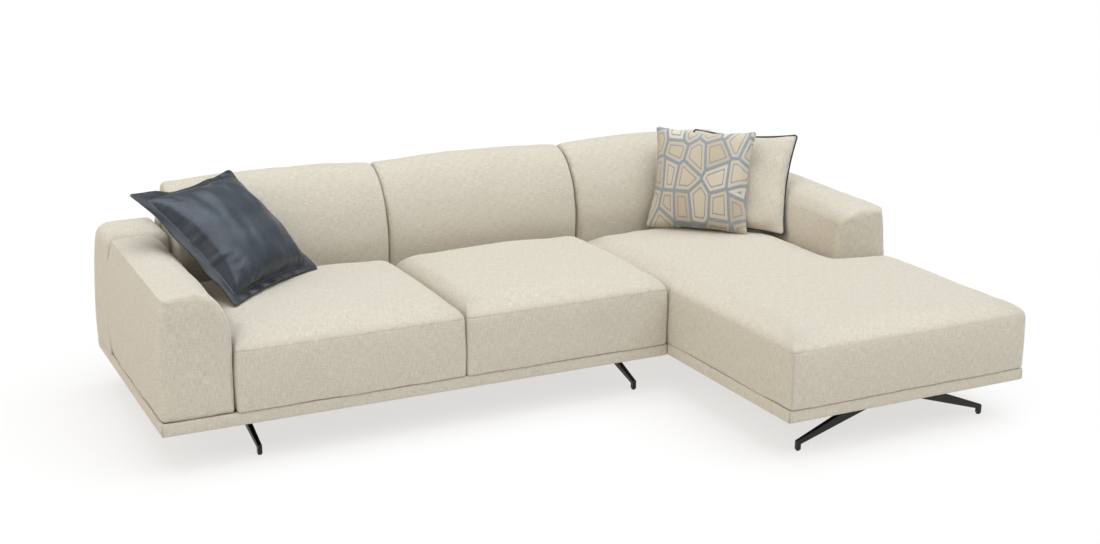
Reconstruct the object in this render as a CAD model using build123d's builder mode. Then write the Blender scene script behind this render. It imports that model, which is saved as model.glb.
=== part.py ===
from build123d import *
import math
import os

# Overall sizes, in millimetres. X runs to the right, Y to the rear, Z up from the floor.
overall_width = 2900.0
sofa_depth = 1050.0
chaise_reach = 795.0
chaise_width = 1005.0
module_gap = 2.0

# Base: an upholstered band round a timber frame
leg_height = 145.0
plinth_height = 45.0
plinth_thickness = 14.0
plinth_seam = 0.6
rail_thickness = 45.0
leg_rail_width = 66.0
dust_cover_thickness = 1.0
dust_cover_lap = 10.0

# Elastic straps under the seats
strap_width = 70.0
strap_thickness = 2.0
strap_bearing = 14.0
strap_pitch = 135.0
strap_margin = 60.0

# Padding that all the upholstered pieces share
pad_gap = 2.0
pad_rest_gap = 0.3
section_pitch = 130.0
pad_bulge = 6.0
pad_draw_in = 6.0
pad_corner = 28.0
pocket_gap = 0.5

# Seats: widths, the height of the seam round the edge and of the crown
left_seat_width = 827.0
seat_seam_height = 404.0
seat_height = 472.0
chaise_seam_height = 391.0
chaise_height = 457.0
core_margin = 42.0
core_cover = 34.0

# Backs
back_depth = 315.0
back_height = 786.0
back_shoulder = 726.0
back_waist = 512.0
back_crown = 12.0
back_toe = 8.0
back_end_round = 26.0
back_core_margin = 45.0
panel_depth = 62.0
panel_height = 640.0
panel_corner = 24.0
panel_edge = 18.0

# Arms
arm_width = 250.0
arm_depth = 783.0
arm_front_height = 612.0
arm_rear_height = 635.0
arm_lean = 20.0
arm_top_round = 18.0
arm_crest = 178.0
arm_crown = 4.0
arm_roll_height = 158.0
arm_toe = 8.0
arm_edge_round = 18.0
corner_block_width = 238.0
corner_block_gap = 6.0
corner_block_edge = 26.0

# Timber frames inside the backs and arms
frame_thickness = 24.0
frame_setback = 2.0
post_width = 60.0
back_post_height = 370.0
back_rail_height = 40.0
back_post_pitch = 500.0
back_frame_margin = 60.0
arm_post_height = 325.0
arm_rail_height = 36.0
arm_frame_margin = 45.0
arm_frame_offset = 20.0
bolt_radius = 4.0
bolt_head_radius = 7.0
bolt_head_height = 8.0
bolt_grip = 60.0

# Inverted-V legs, their plates, screws and glides
foot_width = 15.0
foot_outer_height = 36.0
foot_inner_height = 22.0
hub_thickness = 12.0
hub_width = 26.0
hub_half_length = 145.0
hub_underside_half_length = 50.0
leg_edge = 2.0
glide_height = 4.0
glide_radius = 7.0
plate_length = 300.0
plate_width = 60.0
plate_thickness = 5.0
plate_corner = 8.0
plate_clearance = 4.0
sofa_left_leg_inset = 340.0
sofa_right_leg_inset = 101.0
sofa_foot_inset = 78.0
chaise_front_leg_inset = 94.0
chaise_rear_leg_inset = 100.0
chaise_foot_inset = 107.0
screw_radius = 2.5
screw_head_radius = 5.5
screw_head_height = 3.0
screw_length = 30.0
screw_clearance = 0.2
screw_row_spacing = 40.0
screw_pitch = 125.0

# Plates that join the two modules
joining_plate_length = 90.0
joining_plate_width = 80.0
joining_plate_thickness = 3.0
joining_plate_inset = 220.0

# Loose pillows
pillow_pull = 13.0
pillow_corner = 26.0
pillow_fullness = 0.7
pillow_wall = 4.0
pillow_edge_wall = 14.0
pillow_rest_gap = 0.4
leather_size = 425.0
leather_front = 78.0
leather_back = 34.0
leather_flange = 50.0
leather_flange_thickness = 5.0
leather_turn = 39.0
leather_lean = 47.0
leather_from_arm = 290.0
leather_from_back = 300.0
pattern_size = 430.0
pattern_front = 66.0
pattern_back = 34.0
pattern_turn = -44.0
pattern_lean = 20.0
pattern_from_arm = 312.0
pattern_from_back = 196.0
piped_size = 440.0
piped_front = 36.0
piped_back = 48.0
piped_turn = -44.0
piped_lean = 33.0
piped_from_arm = 184.0
piped_from_back = 262.0
piping_radius = 3.5
piping_gap = 0.5

# Places that follow from those sizes
half_width = overall_width / 2
half_depth = (sofa_depth + chaise_reach) / 2
sofa_front = chaise_reach - half_depth
split = half_width - chaise_width
plinth_top = leg_height + plinth_height
pad_floor = plinth_top + strap_thickness
back_face = half_depth - back_depth
panel_face = half_depth - panel_depth
arm_inner = half_width - arm_width
seat_split = -arm_inner + left_seat_width
plate_floor = leg_height - plate_thickness
sofa_box = (-half_width, split - module_gap / 2, sofa_front, half_depth)
chaise_box = (split + module_gap / 2, half_width, -half_depth, half_depth)
screw_hole_radius = screw_radius + screw_clearance
bolt_hole_radius = bolt_radius + screw_clearance


def save(part, name):
    """Label one finished piece and write it."""
    part.label = name
    export_step(part, f"parts/{name}.step")


def upright_plane(y):
    """A plane that stands across the sofa at this depth, X to the right and Z up."""
    return Plane(origin=(0, y, 0), x_dir=(1, 0, 0), z_dir=(0, -1, 0))


def lofted(sections):
    """A body through outlines, each given as its plane and the function that draws it."""
    with BuildPart() as body:
        for plane, draw in sections:
            with BuildSketch(plane):
                with BuildLine():
                    draw()
                make_face()
        loft()
    return body.part


def block(x0, x1, y0, y1, z0, z1):
    """A rectangular block between two corners, added to the piece being made."""
    with Locations(((x0 + x1) / 2, (y0 + y1) / 2, (z0 + z1) / 2)):
        Box(x1 - x0, y1 - y0, z1 - z0)


def spread(start, stop, pitch):
    """Evenly spaced places from start to stop, about one pitch apart."""
    count = max(1, round((stop - start) / pitch))
    return [start + (stop - start) * step / count for step in range(count + 1)]


# Base of each module

def plinth_cover(box):
    """Four strips round a module, mitred and sewn at the corners."""
    x0, x1, y0, y1 = box
    t = plinth_thickness
    g = plinth_seam
    strips = (
        ((x0 + g, y0), (x1 - g, y0), (x1 - t - g, y0 + t), (x0 + t + g, y0 + t)),
        ((x0 + g, y1), (x1 - g, y1), (x1 - t - g, y1 - t), (x0 + t + g, y1 - t)),
        ((x0, y0 + g), (x0, y1 - g), (x0 + t, y1 - t - g), (x0 + t, y0 + t + g)),
        ((x1, y0 + g), (x1, y1 - g), (x1 - t, y1 - t - g), (x1 - t, y0 + t + g)),
    )
    with BuildPart() as cover:
        with BuildSketch(Plane.XY.offset(leg_height)):
            for strip in strips:
                with BuildLine():
                    Polyline(*strip, close=True)
                make_face()
        extrude(amount=plinth_height)
    return cover.part


def front_and_rear_rails(box):
    """The two rails across a module, along X."""
    x0, x1, y0, y1 = box
    t = plinth_thickness
    with BuildPart() as rails:
        block(x0 + t, x1 - t, y0 + t, y0 + t + rail_thickness, leg_height, plinth_top)
        block(x0 + t, x1 - t, y1 - t - rail_thickness, y1 - t, leg_height, plinth_top)
    return rails.part


def side_rails(box, bolts):
    """The two rails between them, along Y, bored for the arm bolts."""
    x0, x1, y0, y1 = box
    t = plinth_thickness
    rail_front = y0 + t + rail_thickness
    rail_rear = y1 - t - rail_thickness
    with BuildPart() as rails:
        block(x0 + t, x0 + t + rail_thickness, rail_front, rail_rear, leg_height, plinth_top)
        block(x1 - t - rail_thickness, x1 - t, rail_front, rail_rear, leg_height, plinth_top)
        with BuildSketch(Plane.XY.offset(leg_height)):
            with Locations(*bolts):
                Circle(bolt_head_radius + screw_clearance)
        extrude(amount=bolt_head_height, mode=Mode.SUBTRACT)
        with BuildSketch(Plane.XY.offset(leg_height)):
            with Locations(*bolts):
                Circle(bolt_hole_radius)
        extrude(amount=plinth_height, mode=Mode.SUBTRACT)
        joint_side = x1 if x1 < half_width else x0
        inward = -1 if x1 < half_width else 1
        with BuildSketch(Plane.XY.offset(leg_height)):
            with Locations(*joining_screw_places(joint_side, inward)):
                Circle(screw_hole_radius)
        extrude(amount=screw_length, mode=Mode.SUBTRACT)
    return rails.part


def joining_screw_places(edge, inward):
    """Where the joining plates are screwed into the rail beside this edge of a module."""
    x = edge + inward * (plinth_thickness + rail_thickness / 2)
    places = []
    for y in joining_plate_places:
        places.append((x, y - joining_plate_width / 4))
        places.append((x, y + joining_plate_width / 4))
    return places


def leg_screw_places(leg):
    """Where one leg plate is screwed up: two rows of three, along the leg."""
    x, y, along_x, reach = leg
    places = []
    for step in (-1, 0, 1):
        for row in (-1, 1):
            along = step * screw_pitch
            across = row * screw_row_spacing / 2
            places.append((x + along, y + across) if along_x else (x + across, y + along))
    return places


def leg_rails(box, legs):
    """The cross rails that carry the legs, bored for the leg screws."""
    x0, x1, y0, y1 = box
    inner = plinth_thickness + rail_thickness
    half = leg_rail_width / 2
    with BuildPart() as rails:
        for x, y, along_x, reach in legs:
            if along_x:
                block(x0 + inner, x1 - inner, y - half, y + half, leg_height, plinth_top)
            else:
                block(x - half, x + half, y0 + inner, y1 - inner, leg_height, plinth_top)
        with BuildSketch(Plane.XY.offset(leg_height)):
            for leg in legs:
                with Locations(*leg_screw_places(leg)):
                    Circle(screw_hole_radius)
        extrude(amount=screw_length, mode=Mode.SUBTRACT)
    return rails.part


def dust_cover(box, legs):
    """Thin cloth under the frame, cut out round the leg plates."""
    x0, x1, y0, y1 = box
    edge = plinth_thickness + rail_thickness - dust_cover_lap
    with BuildPart() as cover:
        with BuildSketch(Plane.XY.offset(leg_height)):
            with Locations(((x0 + x1) / 2, (y0 + y1) / 2)):
                Rectangle(x1 - x0 - 2 * edge, y1 - y0 - 2 * edge)
            for x, y, along_x, reach in legs:
                length = plate_length + 2 * plate_clearance
                width = plate_width + 2 * plate_clearance
                with Locations((x, y)):
                    Rectangle(
                        length if along_x else width,
                        width if along_x else length,
                        mode=Mode.SUBTRACT,
                    )
        extrude(amount=-dust_cover_thickness)
    return cover.part


# Legs

def leg_frame(leg):
    """The upright plane of one leg: its own length to the right, Z up."""
    x, y, along_x, reach = leg
    if along_x:
        return Plane(origin=(x, y, 0), x_dir=(1, 0, 0), z_dir=(0, -1, 0))
    return Plane(origin=(x, y, 0), x_dir=(0, 1, 0), z_dir=(1, 0, 0))


def inverted_v_leg(leg):
    """One leg: a flat hub, two bars that fall to the feet, and two short upright feet."""
    x, y, along_x, reach = leg
    outer = reach + foot_width / 2
    inner = reach - foot_width / 2
    right_half = [
        (hub_underside_half_length, plate_floor - hub_thickness),
        (inner, foot_inner_height),
        (inner, glide_height),
        (outer, glide_height),
        (outer, foot_outer_height),
        (hub_half_length, plate_floor),
    ]
    left_half = [(-along, height) for along, height in reversed(right_half)]
    plan = [
        (-outer, -foot_width / 2),
        (0, -hub_width / 2),
        (outer, -foot_width / 2),
        (outer, foot_width / 2),
        (0, hub_width / 2),
        (-outer, foot_width / 2),
    ]
    plan_turn = 0 if along_x else 90
    with BuildPart() as body:
        with BuildSketch(leg_frame(leg)):
            with BuildLine():
                Polyline(*right_half, *left_half, close=True)
            make_face()
        extrude(amount=hub_width / 2, both=True)
        with BuildSketch(Plane(origin=(x, y, 0)).rotated((0, 0, plan_turn))):
            with BuildLine():
                Polyline(*plan, close=True)
            make_face()
        extrude(amount=leg_height, mode=Mode.INTERSECT)
        bars = [edge for edge in body.edges() if edge.length > hub_half_length]
        chamfer(bars, length=leg_edge)
    return body.part


def leg_plates(legs):
    """The plates that the legs are welded to, drilled for their screws."""
    with BuildPart() as plates:
        with BuildSketch(Plane.XY.offset(plate_floor)):
            for leg in legs:
                x, y, along_x, reach = leg
                with Locations((x, y)):
                    RectangleRounded(
                        plate_length if along_x else plate_width,
                        plate_width if along_x else plate_length,
                        plate_corner,
                    )
                with Locations(*leg_screw_places(leg)):
                    Circle(screw_hole_radius, mode=Mode.SUBTRACT)
        extrude(amount=plate_thickness)
    return plates.part


def screws(places, seat):
    """Round-headed screws driven up from this height."""
    with BuildPart() as group:
        with BuildSketch(Plane.XY.offset(seat)):
            with Locations(*places):
                Circle(screw_head_radius)
        extrude(amount=-screw_head_height)
        with BuildSketch(Plane.XY.offset(seat)):
            with Locations(*places):
                Circle(screw_radius)
        extrude(amount=screw_length)
    return group.part


def glides(legs):
    """The round pads under the feet, which stand on the floor."""
    places = []
    for x, y, along_x, reach in legs:
        for end in (-reach, reach):
            places.append((x + end, y) if along_x else (x, y + end))
    with BuildPart() as pads:
        with BuildSketch():
            with Locations(*places):
                Circle(glide_radius)
        extrude(amount=glide_height)
    return pads.part


# Upholstery

# Share of the foot's inset that is left, at even steps up the side of a pad
side_steps = (1.0, 0.4, 0.1, 0.1, 0.4)

# Share of the rise above the seam, and share of the half width drawn in, up a crown
crown_steps = ((0.36, 0.035), (0.62, 0.12), (0.77, 0.25), (0.88, 0.40), (0.96, 0.57), (1.0, 0.75))


def crowned_sections(corners_at, half, corner, seam, crown):
    """Plan outlines up a pad: drawn in at its foot, full at its belly, crowned above its seam."""
    rise = crown - seam
    step_height = (seam - pad_floor) / (len(side_steps) - 1)
    levels = []
    for step, share in enumerate(side_steps):
        levels.append((pad_floor + step * step_height, pad_draw_in * share))
    for up, inward in crown_steps:
        levels.append((seam + rise * up, half * inward))

    def outline(inset):
        radius = corner * (half - inset) / half
        return lambda: FilletPolyline(*corners_at(inset), radius=radius, close=True)

    return [(Plane.XY.offset(height), outline(inset)) for height, inset in levels]


def rectangle_corners(x0, x1, y0, y1):
    """The outline of a rectangular pad at any inset."""
    def corners(inset):
        return (
            (x0 + inset, y0 + inset),
            (x1 - inset, y0 + inset),
            (x1 - inset, y1 - inset),
            (x0 + inset, y1 - inset),
        )
    return corners


def seat_cushion(x0, x1):
    """One seat: the cover with its crown, and the foam core in its pocket."""
    y0 = sofa_front - pad_bulge
    y1 = back_face - pad_gap
    half = min(x1 - x0, y1 - y0) / 2
    corners = rectangle_corners(x0, x1, y0, y1)
    crown = lofted(crowned_sections(corners, half, pad_corner, seat_seam_height, seat_height))
    core_box = (x0 + core_margin, x1 - core_margin, y0 + core_margin, y1 - core_margin)
    core_top = seat_seam_height - core_cover
    return fill_pocket(crown, core_box, pad_floor, core_top)


def fill_pocket(crown, core_box, floor, top):
    """Cut a pocket up into a pad from its underside, and make the block that fills it."""
    x0, x1, y0, y1 = core_box
    with BuildPart() as pocket:
        block(x0, x1, y0, y1, floor - pad_gap, top)
    with BuildPart() as cover:
        add(crown)
        add(pocket.part, mode=Mode.SUBTRACT)
    g = pocket_gap
    with BuildPart() as core:
        block(x0 + g, x1 - g, y0 + g, y1 - g, floor, top - g)
    return cover.part, core.part


def chaise_cushion():
    """The long seat, which narrows beside the right arm, and its foam core."""
    x0, x1, y0, y1 = chaise_box
    left = x0 + pad_gap
    right = x1 + pad_bulge
    front = y0 - pad_bulge
    beside = sofa_front - pad_gap
    inner = arm_inner - pad_gap
    rear = back_face - pad_gap
    half = (inner - left) / 2

    def corners(inset):
        return (
            (left + inset, front + inset),
            (right - inset, front + inset),
            (right - inset, beside - inset),
            (inner - inset, beside - inset),
            (inner - inset, rear - inset),
            (left + inset, rear - inset),
        )

    sections = crowned_sections(corners, half, pad_corner, chaise_seam_height, chaise_height)
    crown = lofted(sections)
    top = chaise_seam_height - core_cover
    with BuildPart() as pocket:
        with BuildSketch(Plane.XY.offset(pad_floor)):
            with BuildLine():
                Polyline(*corners(core_margin), close=True)
            make_face()
        extrude(amount=top - pad_floor)
    with BuildPart() as cover:
        add(crown)
        add(pocket.part, mode=Mode.SUBTRACT)
    with BuildPart() as core:
        with BuildSketch(Plane.XY.offset(pad_floor)):
            with BuildLine():
                Polyline(*corners(core_margin + pocket_gap), close=True)
            make_face()
        extrude(amount=top - pad_floor - pocket_gap)
    return crown, cover.part, core.part


def back_outline(inset, crown):
    """The side outline of a back: upright front, rolled shoulder, ridge and flat rear."""
    front = back_face
    rear = panel_face - pad_gap
    depth = rear - front
    ridge = back_height - inset + crown
    shoulder = back_shoulder - 0.7 * inset + 0.6 * crown
    nape = ridge - 0.25 * (back_height - back_waist)
    waist_point = (front + inset, back_waist)
    shoulder_point = (front + 0.34 * depth + 0.7 * inset, shoulder)
    ridge_point = (front + 0.78 * depth, ridge)
    nape_point = (rear - inset, nape)
    foot = pad_floor + pad_gap / 4 + inset
    toe_point = (front + back_toe + inset, foot)
    heel_point = (rear - inset, foot)
    chest = (front + 0.115 * depth + 0.9 * inset, back_waist + 0.63 * (shoulder - back_waist))
    brow = (front + 0.54 * depth + 0.4 * inset, shoulder + 0.75 * (ridge - shoulder))
    crest = (front + 0.94 * depth - 0.7 * inset, nape + 0.72 * (ridge - nape))
    Line(toe_point, waist_point)
    ThreePointArc(waist_point, chest, shoulder_point)
    ThreePointArc(shoulder_point, brow, ridge_point)
    ThreePointArc(ridge_point, crest, nape_point)
    Line(nape_point, heel_point)
    Line(heel_point, toe_point)


# Share of the end rounding along the length, and share of it drawn in
end_steps = ((0.0, 1.0), (0.8, 0.38), (2.2, 0.12), (4.4, 0.03))


def end_places(length, rounding):
    """Places along a pad with both ends rounded, each with the inset of its outline."""
    start = [(rounding * along, rounding * inward) for along, inward in end_steps]
    stop = [(length - along, inset) for along, inset in reversed(start)]
    between = spread(start[-1][0], stop[0][0], section_pitch)[1:-1]
    return start + [(along, 0.0) for along in between] + stop


def back_cushion(x0, x1):
    """One back: the cover with its crown and rounded ends, and the foam core in its pocket."""
    length = x1 - x0
    sections = []
    for along, inset in end_places(length, back_end_round):
        crown = back_crown * (1 - (2 * along / length - 1) ** 2)
        draw = lambda inset=inset, crown=crown: back_outline(inset, crown)
        sections.append((Plane.YZ.offset(x0 + along), draw))
    margin = back_core_margin
    core_box = (x0 + margin, x1 - margin, back_face + margin, panel_face - margin)
    core_top = back_shoulder - 2 * back_core_margin
    return fill_pocket(lofted(sections), core_box, pad_floor, core_top)


def arm_outline(side, inset, top):
    """The front outline of an arm: bulged outer side, flat top, rolled inner edge."""
    def at(offset, height):
        return (side * (half_width - offset), height)

    outer_foot = at(inset, pad_floor)
    outer_top = at(arm_lean + inset, top - arm_top_round - inset)
    top_start = at(arm_lean + arm_top_round + inset, top - inset)
    crest = at(arm_crest - 0.4 * inset, top - inset)
    roll_end = at(arm_width - inset, top - arm_roll_height)
    inner_foot = at(arm_width - arm_toe - inset, pad_floor)
    belly = at(inset - pad_bulge, (pad_floor + top) / 2)
    corner = at(arm_lean + 0.3 * arm_top_round + inset, top - 0.3 * arm_top_round - inset)
    middle = at((arm_lean + arm_top_round + arm_crest) / 2, top - inset + arm_crown)
    roll_offset = arm_crest + 0.6 * (arm_width - arm_crest) - 0.8 * inset
    roll = at(roll_offset, top - 0.44 * arm_roll_height - 0.5 * inset)
    ThreePointArc(outer_foot, belly, outer_top)
    ThreePointArc(outer_top, corner, top_start)
    ThreePointArc(top_start, middle, crest)
    ThreePointArc(crest, roll, roll_end)
    Line(roll_end, inner_foot)
    Line(inner_foot, outer_foot)


def arm_post_places(side):
    """The middle of each arm post, front and rear."""
    x = side * (half_width - arm_frame_offset - frame_thickness / 2)
    inset = arm_frame_margin + post_width / 2
    return [(x, sofa_front + inset), (x, sofa_front + arm_depth - inset)]


def arm_pad(side):
    """An arm that rises a little to the rear, with a pocket for its timber frame."""
    sections = []
    for along, inset in end_places(arm_depth, arm_edge_round):
        top = arm_front_height + (arm_rear_height - arm_front_height) * along / arm_depth
        draw = lambda inset=inset, top=top: arm_outline(side, inset, top)
        sections.append((upright_plane(sofa_front + along), draw))
    x = arm_post_places(side)[0][0]
    half = frame_thickness / 2 + pocket_gap
    y0 = sofa_front + arm_frame_margin - pocket_gap
    y1 = sofa_front + arm_depth - arm_frame_margin + pocket_gap
    top = plinth_top + arm_post_height + arm_rail_height + pocket_gap
    with BuildPart() as pocket:
        block(x - half, x + half, y0, y1, plinth_top, top)
    with BuildPart() as pad:
        add(lofted(sections))
        add(pocket.part, mode=Mode.SUBTRACT)
    return pad.part


def arm_posts(side):
    """Two posts on the side rail, bored for the arm bolts."""
    places = arm_post_places(side)
    with BuildPart() as posts:
        with BuildSketch(Plane.XY.offset(plinth_top)):
            with Locations(*places):
                Rectangle(frame_thickness, post_width)
        extrude(amount=arm_post_height)
        with BuildSketch(Plane.XY.offset(plinth_top)):
            with Locations(*places):
                Circle(bolt_hole_radius)
        extrude(amount=bolt_grip, mode=Mode.SUBTRACT)
    return posts.part


def arm_rail(side):
    """The rail across the tops of the arm posts."""
    x = arm_post_places(side)[0][0]
    half = frame_thickness / 2
    floor = plinth_top + arm_post_height
    y0 = sofa_front + arm_frame_margin
    y1 = sofa_front + arm_depth - arm_frame_margin
    with BuildPart() as rail:
        block(x - half, x + half, y0, y1, floor, floor + arm_rail_height)
    return rail.part


def arm_bolts():
    """The bolts that hold the arm posts down to the side rails."""
    places = arm_post_places(-1) + arm_post_places(1)
    with BuildPart() as bolts:
        with BuildSketch(Plane.XY.offset(leg_height)):
            with Locations(*places):
                RegularPolygon(bolt_head_radius, 6)
        extrude(amount=bolt_head_height)
        with BuildSketch(Plane.XY.offset(leg_height)):
            with Locations(*places):
                Circle(bolt_radius)
        extrude(amount=plinth_height + bolt_grip)
    return bolts.part


def upright_pad(floor, foot_corners, top_corners, corner, edge):
    """A firm upright pad between its foot and its top, with the edges round the top rolled over."""
    with BuildPart() as pad:
        for height, corners in ((floor, foot_corners), (panel_height, top_corners)):
            with BuildSketch(Plane.XY.offset(height)):
                with BuildLine():
                    FilletPolyline(*corners, radius=corner, close=True)
                make_face()
        loft(ruled=True)
        fillet(pad.faces().sort_by(Axis.Z)[-1].edges(), radius=edge)
    return pad.part


def corner_block(side):
    """The padded block behind an arm, leaning in at the top as the arm does."""
    y0 = sofa_front + arm_depth + corner_block_gap
    y1 = half_depth + pad_bulge
    inner = side * (half_width - corner_block_width)

    def corners(lean):
        outer = side * (half_width + pad_bulge - lean)
        x0, x1 = min(outer, inner), max(outer, inner)
        return ((x0, y0), (x1, y0), (x1, y1 - lean / 2), (x0, y1 - lean / 2))

    floor = plinth_top + pad_rest_gap
    return upright_pad(floor, corners(0), corners(arm_lean), pad_corner, corner_block_edge)


def back_post_places(x0, x1):
    """The middle of each back post between two ends of a back frame."""
    y = half_depth - plinth_thickness - frame_setback - frame_thickness / 2
    half = post_width / 2
    return [(x, y) for x in spread(x0 + half, x1 - half, back_post_pitch)]


def back_panel(x0, x1):
    """The padded rear of a back, with a pocket for its timber frame, then posts and top rail."""
    y1 = half_depth + pad_bulge
    corners_at = rectangle_corners(x0, x1, panel_face, y1)
    foot = corners_at(0)
    top = ((x0, panel_face), (x1, panel_face), (x1, y1 - arm_lean / 2), (x0, y1 - arm_lean / 2))
    pad = upright_pad(pad_floor, foot, top, panel_corner, panel_edge)
    start = x0 + back_frame_margin
    stop = x1 - back_frame_margin
    places = back_post_places(start, stop)
    y = places[0][1]
    g = pocket_gap
    reach = frame_thickness / 2
    post_top = plinth_top + back_post_height
    rail_top = post_top + back_rail_height
    with BuildPart() as pocket:
        block(start - g, stop + g, y - reach - g, y + reach + g, plinth_top, rail_top + g)
    with BuildPart() as panel:
        add(pad)
        add(pocket.part, mode=Mode.SUBTRACT)
    with BuildPart() as posts:
        with BuildSketch(Plane.XY.offset(plinth_top)):
            with Locations(*places):
                Rectangle(post_width, frame_thickness)
        extrude(amount=back_post_height)
    with BuildPart() as rail:
        block(start, stop, y - reach, y + reach, post_top, rail_top)
    return panel.part, posts.part, rail.part


# Loose pillows

def pillow_plane(bottom, turn, lean, size):
    """The middle plane of a pillow that stands on its bottom edge, turned and leaning back."""
    turn_angle = math.radians(turn)
    lean_angle = math.radians(lean)
    along = Vector(math.cos(turn_angle), math.sin(turn_angle), 0)
    behind = Vector(-math.sin(turn_angle), math.cos(turn_angle), 0)
    up = behind * math.sin(lean_angle) + Vector(0, 0, math.cos(lean_angle))
    return Plane(origin=bottom + up * (size / 2), x_dir=along, z_dir=along.cross(up))


def pillow_outline(size, share):
    """A square with sides drawn in between its rounded corners, at a share of its full size."""
    half = share * size / 2
    pull = share**2 * pillow_pull
    corner = share * pillow_corner
    waist = half - pull
    side_radius = (half**2 + pull**2) / (2 * pull)
    reach = side_radius + corner
    side_centre = Vector(0, -waist - side_radius)
    corner_place = (waist + side_radius - math.sqrt(2 * reach**2 - (waist + side_radius) ** 2)) / 2
    corner_centre = Vector(corner_place, -corner_place)
    touch = side_centre + (corner_centre - side_centre) * (side_radius / reach)
    tip = corner_centre + Vector(1, -1).normalized() * corner
    for quarter in range(4):
        def turned(x, y):
            point = Vector(x, y).rotate(Axis.Z, 90 * quarter)
            return (point.X, point.Y)

        side_end = turned(touch.X, touch.Y)
        ThreePointArc(turned(-touch.X, touch.Y), turned(0, -waist), side_end)
        ThreePointArc(side_end, turned(tip.X, tip.Y), turned(-touch.Y, -touch.X))


# Shares of the full size at which a pillow's outline is drawn, from its seam to its crown
pillow_steps = (1.0, 0.92, 0.75, 0.5, 0.3)


def pillow_body(plane, size, front, back):
    """The closed form of a pillow: two crowned halves that meet at the seam."""
    with BuildPart() as body:
        for fullness in (front, -back):
            for share in pillow_steps:
                height = fullness * (1 - share**2) ** pillow_fullness
                with BuildSketch(plane.offset(height)):
                    with BuildLine():
                        pillow_outline(size, share)
                    make_face()
            loft()
    return body.part


def pillow(plane, size, front, back):
    """A pillow's outer form, the hollow in its cover and the insert that fills it."""
    outer = pillow_body(plane, size, front, back)
    hollow_size = size - 2 * pillow_edge_wall
    hollow = pillow_body(plane, hollow_size, front - pillow_wall, back - pillow_wall)
    g = pocket_gap
    insert_size = hollow_size - 4 * g
    insert = pillow_body(plane, insert_size, front - pillow_wall - g, back - pillow_wall - g)
    return outer, hollow, insert


def hollowed(outer, hollow):
    """A pillow cover, with room inside for its insert."""
    with BuildPart() as cover:
        add(outer)
        add(hollow, mode=Mode.SUBTRACT)
    return cover.part


def resting_drop(pillow_form, seat):
    """How far a pillow comes down before it stands on its seat."""
    drop = 0.0
    for step in range(4):
        lowered = pillow_form.moved(Location((0, 0, -drop)))
        drop += lowered.distance_to(seat) - pillow_rest_gap
    return drop


os.makedirs("parts", exist_ok=True)

# Where each leg stands: middle, direction and reach to its feet
sofa_middle = (sofa_front + half_depth) / 2
sofa_reach = (half_depth - sofa_front) / 2 - sofa_foot_inset
chaise_middle = (chaise_box[0] + chaise_box[1]) / 2
chaise_leg_reach = (chaise_box[1] - chaise_box[0]) / 2 - chaise_foot_inset
sofa_legs = [
    (-half_width + sofa_left_leg_inset, sofa_middle, False, sofa_reach),
    (split - sofa_right_leg_inset, sofa_middle, False, sofa_reach),
]
chaise_legs = [
    (chaise_middle, -half_depth + chaise_front_leg_inset, True, chaise_leg_reach),
    (chaise_middle, half_depth - chaise_rear_leg_inset, True, chaise_leg_reach),
]
joining_plate_places = (sofa_front + joining_plate_inset, half_depth - joining_plate_inset)

# The two bases
modules = (
    ("sofa", sofa_box, sofa_legs, arm_post_places(-1)),
    ("chaise", chaise_box, chaise_legs, arm_post_places(1)),
)
for module_name, module_box, module_legs, module_bolts in modules:
    screw_places = [place for leg in module_legs for place in leg_screw_places(leg)]
    save(plinth_cover(module_box), f"{module_name}_plinth_cover")
    save(front_and_rear_rails(module_box), f"{module_name}_front_and_rear_rails")
    save(side_rails(module_box, module_bolts), f"{module_name}_side_rails")
    save(leg_rails(module_box, module_legs), f"{module_name}_leg_rails")
    save(dust_cover(module_box, module_legs), f"{module_name}_dust_cover")
    save(leg_plates(module_legs), f"{module_name}_leg_plates")
    save(screws(screw_places, plate_floor), f"{module_name}_leg_screws")
    save(glides(module_legs), f"{module_name}_glides")
save(inverted_v_leg(sofa_legs[0]), "sofa_left_leg")
save(inverted_v_leg(sofa_legs[1]), "sofa_right_leg")
save(inverted_v_leg(chaise_legs[0]), "chaise_front_leg")
save(inverted_v_leg(chaise_legs[1]), "chaise_rear_leg")
save(arm_bolts(), "arm_bolts")

# Straps: front to rear under the two seats, side to side under the chaise
strap_end = plinth_thickness + rail_thickness - strap_bearing
strap_half = strap_width / 2
with BuildPart() as sofa_straps:
    first = -arm_inner + strap_margin
    last = sofa_box[1] - strap_margin
    for x in spread(first, last, strap_pitch):
        y0 = sofa_front + strap_end
        y1 = half_depth - strap_end
        block(x - strap_half, x + strap_half, y0, y1, plinth_top, pad_floor)
save(sofa_straps.part, "sofa_seat_webbing")
with BuildPart() as chaise_straps:
    first = -half_depth + plinth_thickness + strap_margin
    last = back_face - strap_margin
    for y in spread(first, last, strap_pitch):
        x0 = chaise_box[0] + strap_end
        x1 = chaise_box[1] - strap_end
        block(x0, x1, y - strap_half, y + strap_half, plinth_top, pad_floor)
save(chaise_straps.part, "chaise_seat_webbing")

# Plates that join the modules under their meeting sides
joining_screws_at = joining_screw_places(sofa_box[1], -1) + joining_screw_places(chaise_box[0], 1)
with BuildPart() as joining_plates:
    with BuildSketch(Plane.XY.offset(leg_height)):
        for y in joining_plate_places:
            with Locations((split, y)):
                RectangleRounded(joining_plate_length, joining_plate_width, plate_corner)
        with Locations(*joining_screws_at):
            Circle(screw_hole_radius, mode=Mode.SUBTRACT)
    extrude(amount=-joining_plate_thickness)
save(joining_plates.part, "joining_plates")
joining_seat = leg_height - joining_plate_thickness
save(screws(joining_screws_at, joining_seat), "joining_screws")

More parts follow.
